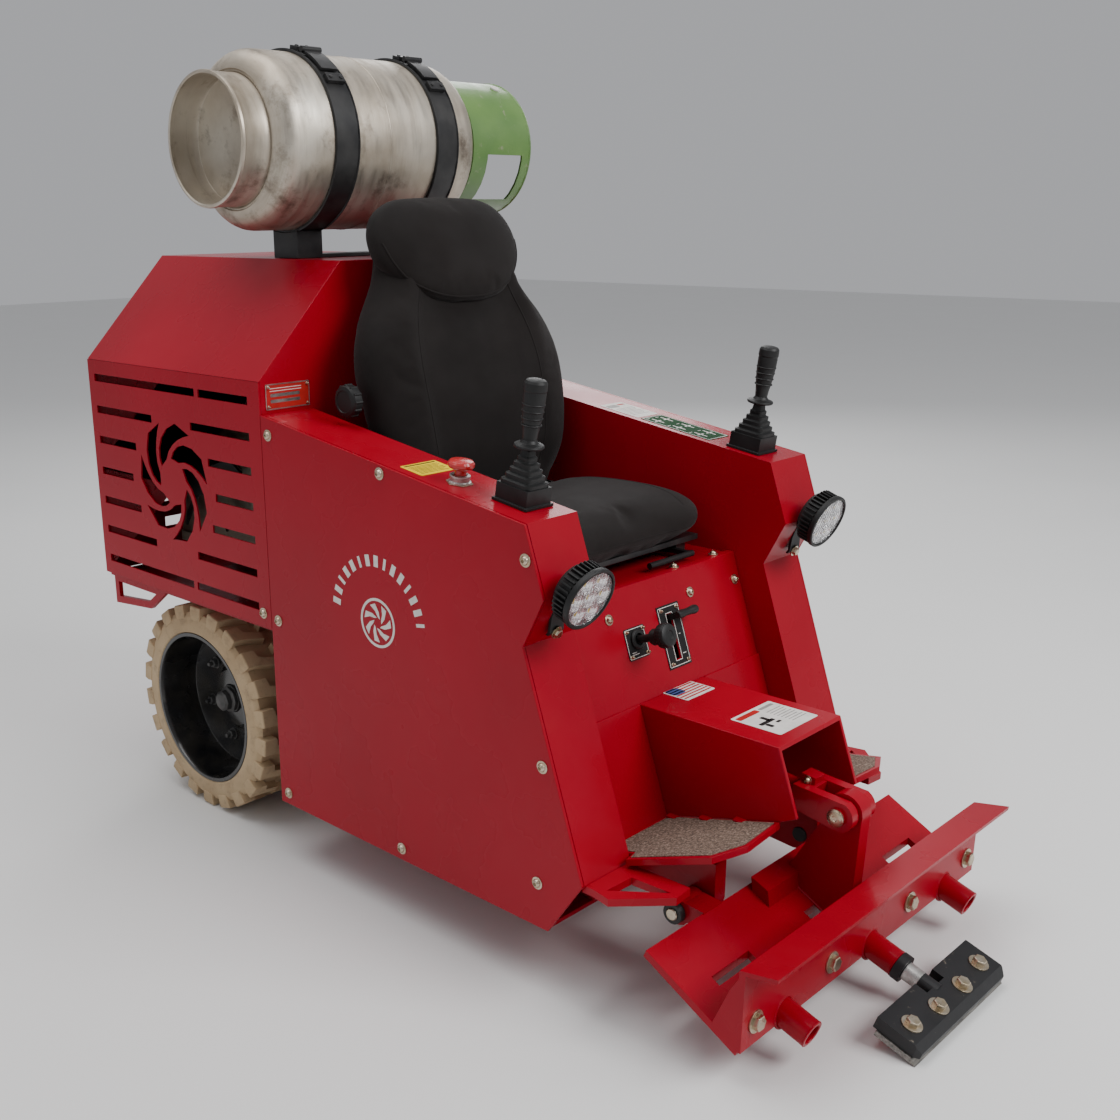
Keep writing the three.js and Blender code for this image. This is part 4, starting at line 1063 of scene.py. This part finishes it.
frame_of_bars(Kit(), ((-27, -8.2, -48, 48), (6.2, 27, -48, 48), (-8.2, 6.2, -48, -37), (-8.2, 6.2, 35, 48)),
              0.05, 0.9).piece("throttle_plate", "machine", INK, 0.15)
kit = Kit()
for _, x, y, w, h in border(WHITE, 24.5, 45, 48, 89, 1) + [(WHITE, 15, -30, 8, 1.2), (WHITE, 15, 30, 5, 5),
                                                           (WHITE, 14, 0, 4, 1)]:
    kit.add(slab(round_rect(w, h, min(w, h) * 0.3, 2), 0.8, 1.05), slot_plate @ shifted(x, y))
frame_of_bars(kit, ((-9.2, -8.2, -38, 36), (6.2, 7.2, -38, 36), (-9.2, 7.2, -38, -37), (-9.2, 7.2, 35, 36)),
              0.8, 1.5).piece("throttle_plate_print", "machine", WHITE, 0)
bolts("plate_screws", "machine", dome_bolt(2.2),
      [(choke_plate @ Vector((x, y, 0.8)), PANEL_NORMAL) for x in (-18.5, 18.5) for y in (-18.5, 18.5)]
      + [(slot_plate @ Vector((x, y, 0.9)), PANEL_NORMAL) for x in (-19, 19) for y in (-41, 41)], 0.1)

flag = oriented((13, -562, BOX_TOP), UP)
stripes = [(RED_INK, 0, 19 - 7 * i, 66, 3.2) for i in range(6)] + [(BLUE_INK, -19, 11, 28, 22)]
card("striped_label", flag, 70, 46, WHITE, marks=stripes)
notice = oriented((8, -712, BOX_TOP), UP)
warning = [(RED_INK, -20, 31, 50, 10), (GREY_PRINT, 26, 31, 34, 6), (INK, -22, -2, 34, 7),
           (INK, -14, 6, 8, 16), (INK, -30, -12, 8, 12), (INK, -8, -12, 10, 5)]
warning += lines(GREY_PRINT, 26, 18, 36, 8, 6)
card("notice_label", notice, 98, 82, WHITE, marks=warning)

# A plain round badge on each side panel: a ring, short ticks round it and a fan of arcs.
for side, q in SIDES.items():
    middle = oriented((q * SIDE_X, -259, 463), (q, 0, 0), (0, q, 0))
    badge = Kit().add(spun([(33, 0.1), (37, 0.1), (37, 0.5), (33, 0.5)], 64), middle)
    fan_blade = [(r * cos(a), r * sin(a)) for r, a in
                 ((8, 0.0), (17, 0.5), (29, 0.85), (29, 1.25), (18, 0.95), (9, 0.55))]
    for a in turns(7):
        badge.add(slab(fan_blade, 0.1, 0.5), middle @ spin(a))
    for i in range(15):
        a = pi / 2 + (i - 7) * 0.2
        badge.add(brick(17, 9 if i % 3 else 5, 0.1, 0.5), middle @ spin(a) @ shifted(92))
    badge.piece(f"side_badge_{side}", "machine", WHITE, 0.05)


# ---- foot plates, head and blade
def tread_z(y):
    return 180 + 0.289 * (-583 - y)


for side, q in SIDES.items():
    outline = [(86, -604), (223, -604), (223, -652), (243, -659), (214, -765), (170, -787), (86, -778)]
    sheet = [[(q * x, y, tread_z(y) + lift) for x, y in outline] for lift in (0.1, 1.1)]
    Kit().add(loft(sheet)).piece(f"tread_tape_{side}", "machine", GRIP, 0.2)
    tabs = Kit()
    for y in (-612, -668, -724):
        tabs.add(slab([(q * 80.6, y - 9), (q * 93, y - 7), (q * 93, y + 7), (q * 80.6, y + 9)],
                      tread_z(y) + 0.5, tread_z(y) + 3.4))
    tabs.piece(f"box_tabs_{side}", "machine", "red_paint", 0.5)

SHANK_TILT = radians(18)
SOCKET_Y, SOCKET_Z = -927, 48
socket_out = Vector((0, -cos(SHANK_TILT), -sin(SHANK_TILT)))
socket_lip = spun([(13.9, -1), (19.2, -1), (19.6, 0), (18.6, 1.2), (14.4, 1.2)], 40)
collars = Kit()
for x in (-218, 0, 218):
    mouth = Vector((x, SOCKET_Y, SOCKET_Z))
    collars.add(socket_lip, oriented(mouth, socket_out))
    root = oriented(mouth - socket_out * 42, FORWARD)
    weld_bead(collars, ring_path(root, 20.4, 21.4, -1, 40), 2.3)
collars.piece("socket_collars", "head", "red_paint", 0.3)

seams = Kit()
for x0, x1 in ((-HEAD_X, -14), (14, HEAD_X)):
    weld_bead(seams, [(x0, -878.4, 58), (x1, -878.4, 58)], 2.4)
    weld_bead(seams, [(x0, -888.3, 160.5), (x1, -888.3, 160.5)], 2.0)
for q in (-1, 1):
    weld_bead(seams, [(q * 12.8, -752, 124), (q * 12.8, -800, 99.5), (q * 12.8, -850, 72)], 2.4)
seams.piece("head_welds", "head", "red_paint", 0, 60)

wall_bolts = [((x, -888.2, 82), (0, -1, 0.02)) for x in (-286, -107, 107, 286)]
bolts("head_bolts", "head", hex_bolt(10.5, 7.5, 15), wall_bolts)
bolts("clamp_bolts", "lift_rod", dome_bolt(5),
      [((q * 12, -781.5, 276), (q, 0, 0)) for q in (-1, 1)], 0.2)
pins = [((q * 36.2, -840, 247), (q, 0, 0)) for q in (-1, 1)]
pin_cap = spun([(0, -2), (12.4, -2), (12.4, 1), (10.6, 2.2), (4, 2.2), (3.4, 1.4), (0, 1.4)], 32)
bolts("fork_pin_caps", "lift_rod", pin_cap, pins)
shaft_caps = [((q * 203.2, -700, 117), (q, 0, 0)) for q in (-1, 1)]
bolts("pivot_caps", "machine", spun([(0, 0), (9, 0), (9, 1.4), (7.6, 2.6), (0, 2.8)], 24), shaft_caps)

blade_place = Matrix.Translation((0, SOCKET_Y, SOCKET_Z)) @ Matrix.Rotation(SHANK_TILT, 4, "X")
top_normal = (blade_place.to_3x3() @ Vector((0, 0, 1))).normalized()
blade_bolts = [(blade_place @ Vector((x, y, 10.1)), top_normal)
               for x, y in ((-96, -72), (96, -72), (-34, -78), (34, -78))]
bolts("blade_bolts", "blade", hex_bolt(9.5, 7, 14), blade_bolts)
sleeve = Kit().add(spun([(12.6, -37), (13.3, -36.6), (13.3, -15), (12.6, -14.6)], 48),
                   blade_place @ oriented((0, 0, 0), (0, 1, 0)))
sleeve.piece("shank_sleeve", "blade", PLATE, 0.1, slot="zinc_plate")


# ---- camera, light and floor
def look(yaw, pitch, roll):
    """Camera turned by yaw from +Y towards +X, tipped down by pitch, then rolled."""
    aim = Vector((sin(yaw) * cos(pitch), cos(yaw) * cos(pitch), -sin(pitch)))
    right = aim.cross(UP).normalized()
    up = right.cross(aim)
    turned = right * cos(roll) + up * sin(roll)
    return Matrix((turned, turned.cross(aim), -aim)).transposed()


CAMERA_PLACE = Vector((-1.4830, -1.6135, 1.0290))           # metres from the drawing's origin
YAW, PITCH, ROLL = (radians(a) for a in (45.3, 16.26, -0.53))
camera_data = bpy.data.cameras.new("camera")
camera_data.sensor_width = 36
camera_data.lens = 41.56
camera_data.shift_x = 0.0687
camera_data.shift_y = 0.0262
camera = placed("camera", camera_data)
camera.matrix_world = Matrix.Translation(ORIGIN + CAMERA_PLACE) @ look(YAW, PITCH, ROLL).to_4x4()
bpy.context.scene.camera = camera

machine_middle = (Vector(CAD_BOX[0]) + Vector(CAD_BOX[1])) / 2
for name, place, size, power in (
        ("key_light", (0.9, -3.4, 3.3), (2.6, 1.8), 150), ("top_light", (-0.6, 0.6, 4.0), (3.0, 3.0), 92),
        ("side_light", (-3.8, 0.4, 1.7), (1.4, 2.2), 9), ("rim_light", (3.2, 2.6, 2.6), (1.6, 2.4), 45)):
    data = bpy.data.lights.new(name, "AREA")
    data.shape = "RECTANGLE"
    data.size, data.size_y = size
    data.energy = power
    lamp = placed(name, data)
    lamp.location = place
    lamp.rotation_mode = "QUATERNION"
    lamp.rotation_quaternion = (machine_middle - Vector(place)).to_track_quat("-Z", "Y")

world = bpy.data.worlds.new("studio")
world.use_nodes = True
sky = world.node_tree.nodes["Background"].inputs
sky["Color"].default_value = (0.95, 0.96, 1, 1)
sky["Strength"].default_value = 0.45
bpy.context.scene.world = world

floor_mesh = bpy.data.meshes.new("floor")
FLOOR_HALF = 14
corners = [(x * FLOOR_HALF, y * FLOOR_HALF, 0) for x, y in ((-1, -1), (1, -1), (1, 1), (-1, 1))]
floor_mesh.from_pydata(corners, [], [(0, 1, 2, 3)])
floor = placed("floor", floor_mesh)
ground = Surface("pale_floor", (0.78, 0.78, 0.77), 0.7)
ground.rough(ground.noise(2, 3), 0.6, 0.8)
floor_mesh.materials.append(ground.material)
floor.location.z = -0.0006
